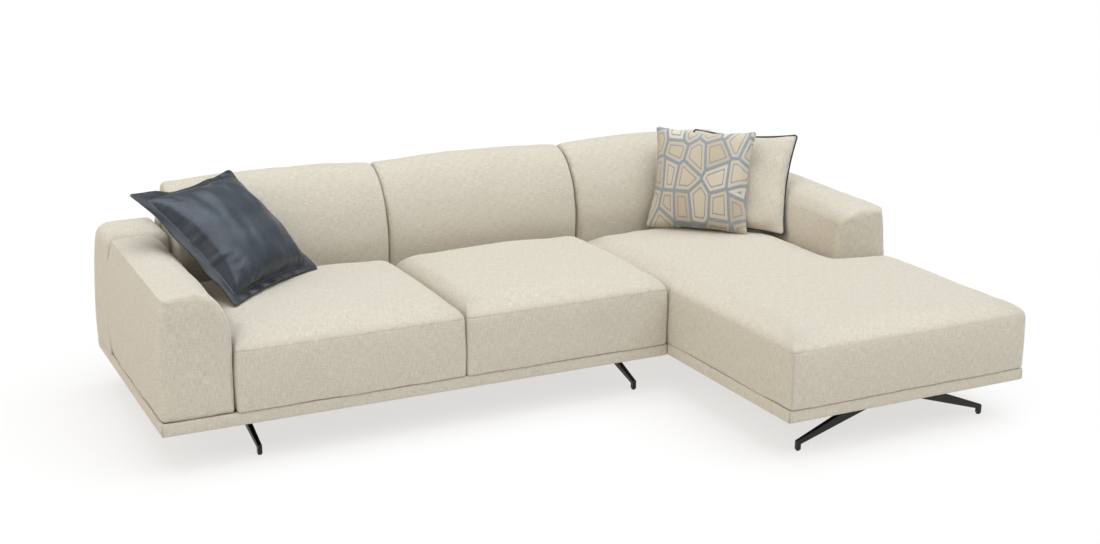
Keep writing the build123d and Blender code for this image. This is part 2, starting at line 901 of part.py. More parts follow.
# Seats
left_cover, left_core = seat_cushion(-arm_inner + pad_gap, seat_split - pad_gap / 2)
middle_cover, middle_core = seat_cushion(seat_split + pad_gap / 2, sofa_box[1] - pad_gap)
chaise_crown, chaise_cover, chaise_core = chaise_cushion()
save(left_cover, "left_seat_cushion")
save(left_core, "left_seat_core")
save(middle_cover, "middle_seat_cushion")
save(middle_core, "middle_seat_core")
save(chaise_cover, "chaise_seat_cushion")
save(chaise_core, "chaise_seat_core")

# Backs
back_spans = (
    ("left", -arm_inner + pad_gap, seat_split - pad_gap / 2),
    ("middle", seat_split + pad_gap / 2, sofa_box[1] - pad_gap),
    ("right", chaise_box[0] + pad_gap, arm_inner - pad_gap),
)
for back_name, back_start, back_stop in back_spans:
    back_cover, back_core = back_cushion(back_start, back_stop)
    save(back_cover, f"{back_name}_back_cushion")
    save(back_core, f"{back_name}_back_core")

block_inner = half_width - corner_block_width
panel_spans = (
    ("sofa", -block_inner + pad_gap, sofa_box[1] - pad_gap),
    ("chaise", chaise_box[0] + pad_gap, block_inner - pad_gap),
)
for module_name, panel_start, panel_stop in panel_spans:
    panel, panel_posts, panel_rail = back_panel(panel_start, panel_stop)
    save(panel, f"{module_name}_back_panel")
    save(panel_posts, f"{module_name}_back_posts")
    save(panel_rail, f"{module_name}_back_rail")

# Arms
for side_name, side in (("left", -1), ("right", 1)):
    save(arm_pad(side), f"{side_name}_arm_pad")
    save(arm_posts(side), f"{side_name}_arm_posts")
    save(arm_rail(side), f"{side_name}_arm_rail")
    save(corner_block(side), f"{side_name}_corner_block")

# Pillows, each lowered on to its seat
leather_full = leather_size + 2 * leather_flange
leather_bottom = Vector(-arm_inner + leather_from_arm, back_face - leather_from_back, seat_height)
leather_plane = pillow_plane(leather_bottom, leather_turn, leather_lean, leather_full)
leather_form, leather_hollow, leather_insert = pillow(
    leather_plane, leather_size, leather_front, leather_back
)
with BuildPart() as leather_outer:
    add(leather_form)
    with BuildSketch(leather_plane):
        with BuildLine():
            pillow_outline(leather_full, 1)
        make_face()
    extrude(amount=leather_flange_thickness / 2, both=True)
leather_drop = Location((0, 0, -resting_drop(leather_outer.part, left_cover)))
leather_cover = hollowed(leather_outer.part, leather_hollow)
save(leather_cover.moved(leather_drop), "leather_pillow_cover")
save(leather_insert.moved(leather_drop), "leather_pillow_insert")

piped_bottom = Vector(arm_inner - piped_from_arm, back_face - piped_from_back, chaise_height)
piped_plane = pillow_plane(piped_bottom, piped_turn, piped_lean, piped_size)
piped_form, piped_hollow, piped_insert = pillow(piped_plane, piped_size, piped_front, piped_back)
with BuildPart() as piping:
    with BuildLine(piped_plane) as piping_path:
        pillow_outline(piped_size + 2 * (piping_radius + piping_gap), 1)
    with BuildSketch(Plane(origin=piping_path.line @ 0, z_dir=piping_path.line % 0)):
        Circle(piping_radius)
    sweep()
piped_drop = Location((0, 0, -resting_drop(piping.part, chaise_crown)))
save(hollowed(piped_form, piped_hollow).moved(piped_drop), "piped_pillow_cover")
save(piped_insert.moved(piped_drop), "piped_pillow_insert")
save(piping.part.moved(piped_drop), "pillow_piping")

pattern_bottom = Vector(
    arm_inner - pattern_from_arm, back_face - pattern_from_back, chaise_height
)
pattern_plane = pillow_plane(pattern_bottom, pattern_turn, pattern_lean, pattern_size)
pattern_form, pattern_hollow, pattern_insert = pillow(
    pattern_plane, pattern_size, pattern_front, pattern_back
)
pattern_drop = Location((0, 0, -resting_drop(pattern_form, chaise_crown)))
save(hollowed(pattern_form, pattern_hollow).moved(pattern_drop), "patterned_pillow_cover")
save(pattern_insert.moved(pattern_drop), "patterned_pillow_insert")
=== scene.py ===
import math

import bpy
import numpy as np
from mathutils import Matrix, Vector


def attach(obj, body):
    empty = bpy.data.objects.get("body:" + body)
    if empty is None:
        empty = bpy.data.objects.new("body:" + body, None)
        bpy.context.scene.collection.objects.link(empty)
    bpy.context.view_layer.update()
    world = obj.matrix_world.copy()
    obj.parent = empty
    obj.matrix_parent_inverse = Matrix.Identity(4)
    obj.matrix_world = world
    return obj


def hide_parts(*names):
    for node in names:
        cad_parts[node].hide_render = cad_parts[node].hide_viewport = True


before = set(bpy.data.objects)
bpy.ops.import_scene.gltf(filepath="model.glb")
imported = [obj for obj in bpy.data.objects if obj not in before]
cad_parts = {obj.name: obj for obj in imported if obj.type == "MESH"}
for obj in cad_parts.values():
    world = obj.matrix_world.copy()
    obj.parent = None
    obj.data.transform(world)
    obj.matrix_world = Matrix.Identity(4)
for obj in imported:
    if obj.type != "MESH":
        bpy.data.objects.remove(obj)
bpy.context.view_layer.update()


# Legs. Four slim inverted-V legs of folded steel bar, each welded to a flat plate screwed under the base.
# Black satin powder coat, with the faint orange-peel of a sprayed finish.

def new_finish(name, **sockets):
    """A material, its node tree and its shader, with the constants set on the shader's own sockets."""
    finish = bpy.data.materials.new(name)
    finish.use_nodes = True
    shader = finish.node_tree.nodes["Principled BSDF"]
    for socket, value in sockets.items():
        shader.inputs[socket.replace("_", " ")].default_value = value
    return finish, finish.node_tree, shader


def add_node(tree, kind, inputs=None, **settings):
    """One node, with its settings, and with its inputs set or linked."""
    node = tree.nodes.new(kind)
    for key, value in settings.items():
        setattr(node, key, value)
    for key, value in (inputs or {}).items():
        if isinstance(value, bpy.types.NodeSocket):
            tree.links.new(value, node.inputs[key])
        else:
            node.inputs[key].default_value = value
    return node


def maths(tree, operation, *terms):
    """One arithmetic step on sockets or numbers."""
    return add_node(tree, "ShaderNodeMath", dict(enumerate(terms)), operation=operation).outputs[0]


def blended(tree, share, first, second):
    """A colour between two colours or sockets."""
    mix = add_node(tree, "ShaderNodeMix", {0: share, 6: first, 7: second}, data_type="RGBA")
    return mix.outputs[2]


def ramp(tree, value, low, high):
    """A value stretched so that low becomes 0 and high becomes 1."""
    spread = add_node(tree, "ShaderNodeMapRange", {0: value, 1: low, 2: high, 3: 0.0, 4: 1.0})
    return spread.outputs[0]


def object_place(tree):
    """Places on a piece, in metres, in the frame of the part."""
    return add_node(tree, "ShaderNodeTexCoord").outputs["Object"]


def grain(tree, place, scale, detail=3.0):
    """Noise at a place, with features about 1 / scale metres wide."""
    noise = add_node(tree, "ShaderNodeTexNoise", {"Vector": place, "Scale": scale, "Detail": detail})
    return noise.outputs["Fac"]


def stretched(tree, place, scale):
    """A place stretched along its axes."""
    return add_node(tree, "ShaderNodeMapping", {"Vector": place, "Scale": scale}).outputs[0]


def raise_surface(tree, shader, height, depth):
    """Bump of this depth, in metres, from a height between 0 and 1."""
    bump = add_node(tree, "ShaderNodeBump", {"Height": height, "Distance": depth, "Strength": 1.0})
    tree.links.new(bump.outputs[0], shader.inputs["Normal"])


def two_tone(tree, shader, share, first, second, depth=0.0):
    """Colours a finish between two tones; with a depth, the same share also raises its surface."""
    tree.links.new(blended(tree, share, first, second), shader.inputs["Base Color"])
    if depth:
        raise_surface(tree, shader, share, depth)


def of_both(*names):
    """The names of these nodes in both modules."""
    return [f"{module}_{name}" for module in ("sofa", "chaise") for name in names]


def paint(names, finish):
    """Gives CAD nodes their finish."""
    for name in names:
        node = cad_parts[name]
        if not node.material_slots:
            node.data.materials.append(finish)
        for holder in node.material_slots:
            holder.material = finish


powder_black, tree, shader = new_finish("powder_black", Specular_IOR_Level=0.35)
place = object_place(tree)
peel = grain(tree, place, 900.0, 1.0)
cloud = grain(tree, place, 14.0)
two_tone(tree, shader, cloud, (0.0035, 0.0035, 0.004, 1), (0.007, 0.007, 0.0075, 1))
tree.links.new(maths(tree, "MULTIPLY_ADD", cloud, 0.2, 0.28), shader.inputs["Roughness"])
raise_surface(tree, shader, peel, 0.00012)
paint(["sofa_left_leg", "sofa_right_leg", "chaise_front_leg", "chaise_rear_leg"], powder_black)
paint(of_both("leg_plates"), powder_black)

# Glides and screws. Round moulded pads under the feet, and zinc-plated screws, bolts and joining plates.
# The zinc is brushed a little and clouded.

glide_plastic, tree, shader = new_finish("glide_plastic", Roughness=0.6)
speck = grain(tree, object_place(tree), 1200.0, 2.0)
two_tone(tree, shader, speck, (0.02, 0.02, 0.02, 1), (0.035, 0.035, 0.035, 1), 0.0001)
paint(of_both("glides"), glide_plastic)

zinc, tree, shader = new_finish("zinc", Metallic=1.0)
place = object_place(tree)
brush = grain(tree, stretched(tree, place, (900.0, 60.0, 60.0)), 1.0)
two_tone(tree, shader, grain(tree, place, 60.0), (0.52, 0.52, 0.53, 1), (0.66, 0.65, 0.62, 1))
tree.links.new(ramp(tree, brush, -0.6, 1.8), shader.inputs["Roughness"])
raise_surface(tree, shader, brush, 0.00005)
paint(of_both("leg_screws") + ["arm_bolts", "joining_plates", "joining_screws"], zinc)

# Timber frame. Sawn pine rails and posts, glued and screwed, hidden under the upholstery.
# Long grain with darker late wood and saw marks; grey-brown felt lines the top of the base rails, its dark
# tone painted shade for the gaps between the cushions.

pine, tree, shader = new_finish("pine", Roughness=0.7)
place = object_place(tree)
figure = grain(tree, stretched(tree, place, (3.0, 3.0, 60.0)), 2.0, 5.0)
saw = grain(tree, stretched(tree, place, (200.0, 200.0, 8.0)), 1.0)
late = ramp(tree, figure, 0.42, 0.6)
two_tone(tree, shader, late, (0.58, 0.40, 0.22, 1), (0.42, 0.26, 0.12, 1))
raise_surface(tree, shader, saw, 0.0004)
paint(of_both("leg_rails", "back_posts", "back_rail"), pine)
paint([f"{side}_arm_{part}" for side in ("left", "right") for part in ("posts", "rail")], pine)

shade_felted_pine = pine.copy()
shade_felted_pine.name = "shade_felted_pine"
tree = shade_felted_pine.node_tree
shader = tree.nodes["Principled BSDF"]
wood_tone = shader.inputs["Base Color"].links[0].from_socket
facing = add_node(tree, "ShaderNodeNewGeometry").outputs["Normal"]
faces_up = add_node(tree, "ShaderNodeSeparateXYZ", {0: facing}).outputs[2]
fuzz = grain(tree, object_place(tree), 400.0)
# painted shade: the felt is dark so that, seen through the gaps between the pads, the rails read as shade
shade_dark_felt_tone = blended(tree, fuzz, (0.09, 0.08, 0.062, 1), (0.17, 0.15, 0.12, 1))
two_tone(tree, shader, ramp(tree, faces_up, 0.85, 0.9), wood_tone, shade_dark_felt_tone)
paint(of_both("front_and_rear_rails", "side_rails"), shade_felted_pine)

# Webbing. Elastic straps, woven with ribs along them, tacked to the rails under the seats.
# Black, with grey elastic between the ribs.

strap_web, tree, shader = new_finish("strap_web", Roughness=0.85)
rib = add_node(tree, "ShaderNodeTexWave", {"Vector": object_place(tree), "Scale": 90.0}).outputs["Fac"]
two_tone(tree, shader, rib, (0.012, 0.012, 0.013, 1), (0.05, 0.05, 0.052, 1), 0.0006)
paint(of_both("seat_webbing"), strap_web)

# Foam. Pale cut foam cores in the seat and back cushions, hidden by their covers.
# Open cells show on the cut sides.

cut_foam, tree, shader = new_finish("cut_foam", Roughness=0.95)
cells = add_node(tree, "ShaderNodeTexVoronoi", {"Vector": object_place(tree), "Scale": 700.0})
two_tone(tree, shader, cells.outputs["Distance"], (0.66, 0.58, 0.40, 1), (0.78, 0.72, 0.55, 1), 0.0008)
paint([f"{side}_seat_core" for side in ("left", "middle", "chaise")], cut_foam)
paint([f"{side}_back_core" for side in ("left", "middle", "right")], cut_foam)

# Dust cover. Thin black non-woven cloth stapled under each base, cut out round the leg plates.
# It hangs a few millimetres between its staples.

half_width = 1.450
half_depth = 0.9225
sofa_front = -0.1275
sofa_right = 0.444
chaise_left = 0.446
leg_height = 0.145
bases = {
    "sofa": (-half_width, sofa_right, sofa_front, half_depth),
    "chaise": (chaise_left, half_width, -half_depth, half_depth),
}


def new_piece(name, points, faces, finish, map_places=None):
    """A mesh object from points and faces, smooth, with a map in metres for its weave."""
    mesh = bpy.data.meshes.new(name)
    mesh.from_pydata([tuple(point) for point in points], [], [tuple(face) for face in faces])
    if map_places is not None:
        layer = mesh.uv_layers.new(name="weave")
        layer.data.foreach_set("uv", np.asarray(map_places, np.float32).ravel())
    mesh.shade_smooth()
    mesh.materials.append(finish)
    piece = bpy.data.objects.new(name, mesh)
    bpy.context.scene.collection.objects.link(piece)
    return piece


def applied(piece):
    """Bakes a piece's modifiers into its mesh."""
    bpy.context.view_layer.update()
    shown = piece.evaluated_get(bpy.context.evaluated_depsgraph_get())
    mesh = bpy.data.meshes.new_from_object(shown)
    piece.modifiers.clear()
    piece.data = mesh


def bars_along(name, path, spacing, size, finish):
    """Small rounded bars of this size, such as staples or stitches, set out along a closed path."""
    line = bpy.data.meshes.new(name)
    count = len(path)
    line.from_pydata([tuple(point) for point in path], [(k, (k + 1) % count) for k in range(count)], [])
    track = bpy.data.objects.new(name, line)
    bpy.context.scene.collection.objects.link(track)
    group = bpy.data.node_groups.new(name, "GeometryNodeTree")
    group.interface.new_socket("Path", in_out="INPUT", socket_type="NodeSocketGeometry")
    step = group.interface.new_socket("Spacing", in_out="INPUT", socket_type="NodeSocketFloat")
    bar = group.interface.new_socket("Bar Size", in_out="INPUT", socket_type="NodeSocketVector")
    group.interface.new_socket("Bars", in_out="OUTPUT", socket_type="NodeSocketGeometry")
    given = add_node(group, "NodeGroupInput").outputs
    curve = add_node(group, "GeometryNodeMeshToCurve", {"Mesh": given["Path"]}).outputs[0]
    marks = add_node(
        group, "GeometryNodeResampleCurve", {"Curve": curve, "Length": given["Spacing"]}, mode="LENGTH"
    ).outputs[0]
    pill = add_node(group, "GeometryNodeMeshUVSphere", {"Segments": 6, "Rings": 4, "Radius": 0.5})
    course = add_node(group, "GeometryNodeInputTangent").outputs[0]
    turn = add_node(group, "FunctionNodeAlignRotationToVector", {"Vector": course}, axis="X").outputs[0]
    bars = add_node(
        group,
        "GeometryNodeInstanceOnPoints",
        {"Points": marks, "Instance": pill.outputs["Mesh"], "Rotation": turn, "Scale": given["Bar Size"]},
    ).outputs[0]
    solid = add_node(group, "GeometryNodeRealizeInstances", {"Geometry": bars}).outputs[0]
    dressed = add_node(group, "GeometryNodeSetMaterial", {"Geometry": solid, "Material": finish}).outputs[0]
    add_node(group, "NodeGroupOutput", {"Bars": dressed})
    setting = track.modifiers.new("bars", "NODES")
    setting.node_group = group
    setting[step.identifier] = spacing
    setting[bar.identifier] = size
    applied(track)
    track.data.shade_smooth()
    return track


def lines_between(start, stop, pitch, extra):
    """Grid lines from start to stop about one pitch apart, with some lines where they are wanted."""
    regular = np.linspace(start, stop, max(2, round((stop - start) / pitch)))
    spare = [line for line in regular if all(abs(line - other) > 0.4 * pitch for other in extra)]
    return np.array(sorted(set(spare) | set(extra) | {start, stop}))


dust_cloth, tree, shader = new_finish("dust_cloth", Roughness=0.95)
fibre = grain(tree, object_place(tree), 500.0, 6.0)
two_tone(tree, shader, fibre, (0.006, 0.006, 0.006, 1), (0.03, 0.03, 0.03, 1), 0.0004)

dust_edge = 0.049
dust_sag = 0.006
sag_reach = 0.12
dust_pitch = 0.045
dust_thickness = 0.0006
plate_half_length = 0.154
plate_half_width = 0.034
leg_plate_places = {
    "sofa": ((-1.110, 0.3975, False), (0.344, 0.3975, False)),
    "chaise": ((0.948, -0.8285, True), (0.948, 0.8225, True)),
}
staple_hem = 0.007
staple_drop = 0.0014
staple_pitch = 0.042
staple_size = (0.011, 0.0012, 0.0009)

for module, base in bases.items():
    x0, x1, y0, y1 = base[0] + dust_edge, base[1] - dust_edge, base[2] + dust_edge, base[3] - dust_edge
    cuts = []
    for x, y, along_x in leg_plate_places[module]:
        reach_x = plate_half_length if along_x else plate_half_width
        reach_y = plate_half_width if along_x else plate_half_length
        cuts.append((x - reach_x, x + reach_x, y - reach_y, y + reach_y))
    columns = lines_between(x0, x1, dust_pitch, [edge for cut in cuts for edge in cut[:2]])
    rows = lines_between(y0, y1, dust_pitch, [edge for cut in cuts for edge in cut[2:]])
    cloth_points = []
    for y in rows:
        for x in columns:
            clear = min(x - x0, x1 - x, y - y0, y1 - y)
            for cut in cuts:
                clear = min(clear, max(cut[0] - x, x - cut[1], cut[2] - y, y - cut[3], 0.0))
            sag = dust_sag * (1 - math.exp(-((clear / sag_reach) ** 2)))
            cloth_points.append((x, y, leg_height - dust_thickness - sag))
    cloth_faces = []
    for j in range(len(rows) - 1):
        for i in range(len(columns) - 1):
            x = (columns[i] + columns[i + 1]) / 2
            y = (rows[j] + rows[j + 1]) / 2
            if not any(cut[0] < x < cut[1] and cut[2] < y < cut[3] for cut in cuts):
                corner = j * len(columns) + i
                cloth_faces.append((corner, corner + len(columns), corner + len(columns) + 1, corner + 1))
    cloth = new_piece(f"{module}_underside_cloth", cloth_points, cloth_faces, dust_cloth)
    thickness = cloth.modifiers.new("thickness", "SOLIDIFY")
    thickness.thickness = dust_thickness
    thickness.offset = 0.0
    applied(cloth)
    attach(cloth, "sofa")
    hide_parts(f"{module}_dust_cover")
    left, right, near, far = x0 + staple_hem, x1 - staple_hem, y0 + staple_hem, y1 - staple_hem
    staple_corners = ((left, near), (right, near), (right, far), (left, far))
    staple_path = [(x, y, leg_height - staple_drop) for x, y in staple_corners]
    staples = bars_along(f"{module}_staples", staple_path, staple_pitch, staple_size, zinc)
    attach(staples, "sofa")

# Plinth cover. A band of the upholstery fabric over thin foam round each base, sewn at the corners.
# Cream linen-look weave: thick and thin yarns both ways, so that short darker slubs show; the seams and the
# gaps between the yarns are darkened as painted shade.

def weave_place(tree):
    """Places on a cover's own map, in metres along its yarns."""
    return add_node(tree, "ShaderNodeUVMap", uv_map="weave").outputs[0]


def attribute(tree, name):
    """A value that is stored on the points of a piece."""
    return add_node(tree, "ShaderNodeAttribute", attribute_name=name).outputs["Fac"]


def weighted(tree, first, share, second, other_share):
    """The sum of two values, each times its share."""
    products = [maths(tree, "MULTIPLY", *pair) for pair in ((first, share), (second, other_share))]
    return maths(tree, "ADD", *products)


def overlaid(tree, under, share, strength, tone):
    """A colour with another tone laid over it, by a share times a strength."""
    return blended(tree, maths(tree, "MULTIPLY", share, strength), under, tone)


linen, tree, shader = new_finish(
    "linen", Roughness=0.9, Sheen_Weight=0.18, Sheen_Roughness=0.45, Specular_IOR_Level=0.25
)
thread_pitch = 0.0017
yarn_wander = 0.004
weave = weave_place(tree)
drift = add_node(tree, "ShaderNodeTexNoise", {"Vector": weave, "Scale": 55.0, "Detail": 2.0}).outputs["Color"]
pull = add_node(tree, "ShaderNodeVectorMath", {0: drift, 1: (0.5, 0.5, 0.5)}, operation="SUBTRACT")
wander = add_node(tree, "ShaderNodeVectorMath", {0: pull.outputs[0], 3: yarn_wander}, operation="SCALE")
yarn_place = add_node(tree, "ShaderNodeVectorMath", {0: weave, 1: wander.outputs[0]}, operation="ADD")
sides = add_node(tree, "ShaderNodeSeparateXYZ", {0: yarn_place.outputs[0]})
turns = [maths(tree, "MULTIPLY", sides.outputs[axis], math.pi / thread_pitch) for axis in (0, 1)]
warp, weft = [maths(tree, "ABSOLUTE", maths(tree, "COSINE", turn)) for turn in turns]
crossing = maths(tree, "MULTIPLY", *[maths(tree, "SINE", turn) for turn in turns])
over = ramp(tree, crossing, -0.25, 0.25)
yarns = weighted(tree, warp, over, weft, maths(tree, "SUBTRACT", 1.0, over))
warp_slub = grain(tree, stretched(tree, weave, (420.0, 36.0, 1.0)), 1.0, 2.0)
weft_slub = grain(tree, stretched(tree, weave, (36.0, 420.0, 1.0)), 1.0, 2.0)
slub = weighted(tree, warp_slub, 0.55, weft_slub, 0.45)
fleck = grain(tree, stretched(tree, weave, (240.0, 240.0, 1.0)), 1.0, 2.0)
# painted shade: the gaps between the yarns are darkened as the shade that falls there
yarn_gap_shade = maths(tree, "SUBTRACT", 1.0, yarns)
tone = blended(tree, ramp(tree, slub, 0.36, 0.64), (0.505, 0.450, 0.355, 1), (0.690, 0.625, 0.520, 1))
tone = overlaid(tree, tone, ramp(tree, fleck, 0.60, 0.78), 0.28, (0.40, 0.33, 0.25, 1))
tone = overlaid(tree, tone, yarn_gap_shade, 0.14, (0.34, 0.29, 0.22, 1))
tone = overlaid(tree, tone, grain(tree, weave, 3.0), 0.10, (0.62, 0.58, 0.51, 1))
# painted shade: the linen is darkened along its seams, as the shade in the seam groove
tone = overlaid(tree, tone, ramp(tree, attribute(tree, "seam"), 0.35, 0.95), 0.16, (0.20, 0.165, 0.12, 1))
tree.links.new(tone, shader.inputs["Base Color"])
raise_surface(tree, shader, weighted(tree, yarns, 0.55, slub, 0.9), 0.0009)

band_thickness = 0.014
band_height = 0.045
band_round = 0.005
band_round_steps = 4
band_bulge = 0.0012
band_pitch = 0.03
corner_seam = 0.0008
corner_length = 0.008
corner_tuck = 0.0022


def upholster(piece, node):
    """Attaches a padded piece to the sofa, and hides the node of the model that it stands for."""
    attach(piece, "sofa")
    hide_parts(node)


def band_section():
    """Points round the section of the band: how deep in from the outer face, and how high."""
    section = []
    centres = (
        (band_round, band_round, 180.0),
        (band_thickness - band_round, band_round, 270.0),
        (band_thickness - band_round, band_height - band_round, 0.0),
        (band_round, band_height - band_round, 90.0),
    )
    for depth, height, start in centres:
        for step in range(band_round_steps + 1):
            angle = math.radians(start + 90.0 * step / band_round_steps)
            section.append((depth + band_round * math.cos(angle), height + band_round * math.sin(angle)))
    for height in (0.75, 0.5, 0.25):
        section.append((-band_bulge * math.sin(math.pi * height), height * band_height))
    return section


def lengths_along(path, closed=False):
    """How far along a path each of its points lies, and for a closed one, how long it is."""
    path = np.vstack([path, path[:1]]) if closed else path
    return np.concatenate([[0], np.cumsum(np.linalg.norm(np.diff(path, axis=0), axis=1))])


section = band_section()
count = len(section)
rim = lengths_along(section, True)
for module, (x0, x1, y0, y1) in bases.items():
    band_corners = [Vector((x0, y0, 0)), Vector((x1, y0, 0)), Vector((x1, y1, 0)), Vector((x0, y1, 0))]
    band_points, band_faces, band_map = [], [], []
    for side in range(4):
        start = band_corners[side]
        stop = band_corners[(side + 1) % 4]
        along = (stop - start).normalized()
        inward = Vector((-along.y, along.x, 0))
        length = (stop - start).length
        ends = [corner_length / length, 1 - corner_length / length]
        stations = lines_between(0.0, 1.0, band_pitch / length, ends)
        first = len(band_points)
        for station in stations:
            end_share = max(0.0, 1 - min(station, 1 - station) * length / corner_length)
            for depth, height in section:
                tuck = corner_tuck * end_share**2 * (1 if depth < band_thickness / 2 else 0)
                travel = (depth + corner_seam) + station * (length - 2 * (depth + corner_seam))
                point = start + along * travel + inward * (depth + tuck)
                band_points.append((point.x, point.y, leg_height + height))
        for j in range(len(stations) - 1):
            near = first + j * count
            far = near + count
            low, high = stations[j] * length, stations[j + 1] * length
            for i in range(count):
                after = (i + 1) % count
                band_faces.append((near + i, near + after, far + after, far + i))
                band_map += [(low, rim[i]), (low, rim[i + 1]), (high, rim[i + 1]), (high, rim[i])]
        last = first + (len(stations) - 1) * count
        band_faces.append(tuple(first + i for i in reversed(range(count))))
        band_faces.append(tuple(last + i for i in range(count)))
        band_map += section[::-1] + section
    band = new_piece(f"{module}_plinth_band", band_points, band_faces, linen, band_map)
    upholster(band, f"{module}_plinth_cover")

# Seat cushions. A boxed cover over foam: a band round the sides, and a top panel rolled over the edge.
# The seam between them runs just under the roll, and the top is crowned. They lie on the webbing.

pad_floor = 0.1905
pad_overhang = 0.006
pad_gap = 0.002
seat_split = -0.373
split_gap = 0.001
smooth_levels = 2
back_face = 0.6075
arm_inner = 1.200
spans = {
    "left": (-arm_inner + pad_gap, seat_split - split_gap),
    "middle": (seat_split + split_gap, sofa_right - pad_gap),
    "right": (chaise_left + pad_gap, arm_inner - pad_gap),
}


def rounded_outline(corners, radius, counts):
    """Points round a right-angled outline with rounded corners, each side from the middle of one
    corner to the middle of the next, closer together near the corners."""
    corners = np.asarray(corners, float)
    total = len(corners)
    radii = np.broadcast_to(np.asarray(radius, float), (total,))
    points = []
    for side in range(total):
        here, there = corners[side], corners[(side + 1) % total]
        before, beyond = corners[side - 1], corners[(side + 2) % total]
        way = (there - here) / np.linalg.norm(there - here)
        come = (here - before) / np.linalg.norm(here - before)
        leave = (beyond - there) / np.linalg.norm(beyond - there)
        r0, r1 = radii[side], radii[(side + 1) % total]
        straight = np.linalg.norm(there - here) - r0 - r1
        lengths = (r0 * math.pi / 4, straight, r1 * math.pi / 4)
        even = np.arange(counts[side]) / counts[side]
        shares = 0.55 * even + 0.45 * (1 - np.cos(math.pi * even)) / 2
        for travel in shares * sum(lengths):
            if travel < lengths[0]:
                angle = math.pi / 4 + travel / max(r0, 1e-9)
                centre = here - r0 * come + r0 * way
                points.append(centre + r0 * (come * math.sin(angle) - way * math.cos(angle)))
            elif travel < lengths[0] + lengths[1]:
                points.append(here + way * (r0 + travel - lengths[0]))
            else:
                angle = (travel - lengths[0] - lengths[1]) / max(r1, 1e-9)
                centre = there - r1 * way + r1 * leave
                points.append(centre + r1 * (way * math.sin(angle) - leave * math.cos(angle)))
    return np.array(points)


def rectangle(x0, x1, y0, y1):
    """The corners of a rectangle, from its front left one."""
    return ((x0, y0), (x1, y0), (x1, y1), (x0, y1))


def grid_inside(corner_nodes):
    """A grid inside a right-angled outline of grid nodes: the nodes round it, those inside, the cells."""
    total = len(corner_nodes)
    loop = []
    uprights = []
    for side in range(total):
        (i0, j0), (i1, j1) = corner_nodes[side], corner_nodes[(side + 1) % total]
        steps = max(abs(i1 - i0), abs(j1 - j0))
        loop += [(i0 + (i1 - i0) * k // steps, j0 + (j1 - j0) * k // steps) for k in range(steps)]
        if i0 == i1:
            uprights.append((i0, min(j0, j1), max(j0, j1)))
    cells = []
    for j in range(max(j for i, j in corner_nodes)):
        for i in range(max(i for i, j in corner_nodes)):
            passed = [column for column, low, high in uprights if column > i and low <= j < high]
            if len(passed) % 2:
                cells.append((i, j))
    nodes = {(i + a, j + b) for i, j in cells for a in (0, 1) for b in (0, 1)}
    return loop, sorted(nodes - set(loop)), cells


def filled(loop, inside, rim):
    """Places for the inside nodes of a grid, spread evenly between the places of its rim."""
    places = {node: rim[k] for k, node in enumerate(loop)}
    by_row, by_column = {}, {}
    for i, j in loop:
        by_row.setdefault(j, []).append(i)
        by_column.setdefault(i, []).append(j)
    start = []
    for i, j in inside:
        left = max(k for k in by_row[j] if k < i)
        right = min(k for k in by_row[j] if k > i)
        low = max(k for k in by_column[i] if k < j)
        high = min(k for k in by_column[i] if k > j)
        share = (i - left) / (right - left)
        rise = (j - low) / (high - low)
        across = places[left, j] * (1 - share) + places[right, j] * share
        upward = places[i, low] * (1 - rise) + places[i, high] * rise
        start.append((across + upward) / 2)
    every = np.array(list(rim) + start)
    index = {node: k for k, node in enumerate(loop + inside)}
    beside = np.array(
        [[index[i - 1, j], index[i + 1, j], index[i, j - 1], index[i, j + 1]] for i, j in inside]
    )
    first = len(loop)
    for step in range(120):
        every[first:] = every[beside].mean(axis=1)
    return every[first:]


def drawn_in(outline, inset):
    """An outline moved inwards by this much."""
    tangent = np.roll(outline, -1, 0) - np.roll(outline, 1, 0)
    inward = np.stack([-tangent[:, 1], tangent[:, 0]], axis=1)
    inward /= np.linalg.norm(inward, axis=1, keepdims=True)
    return outline + inward * inset


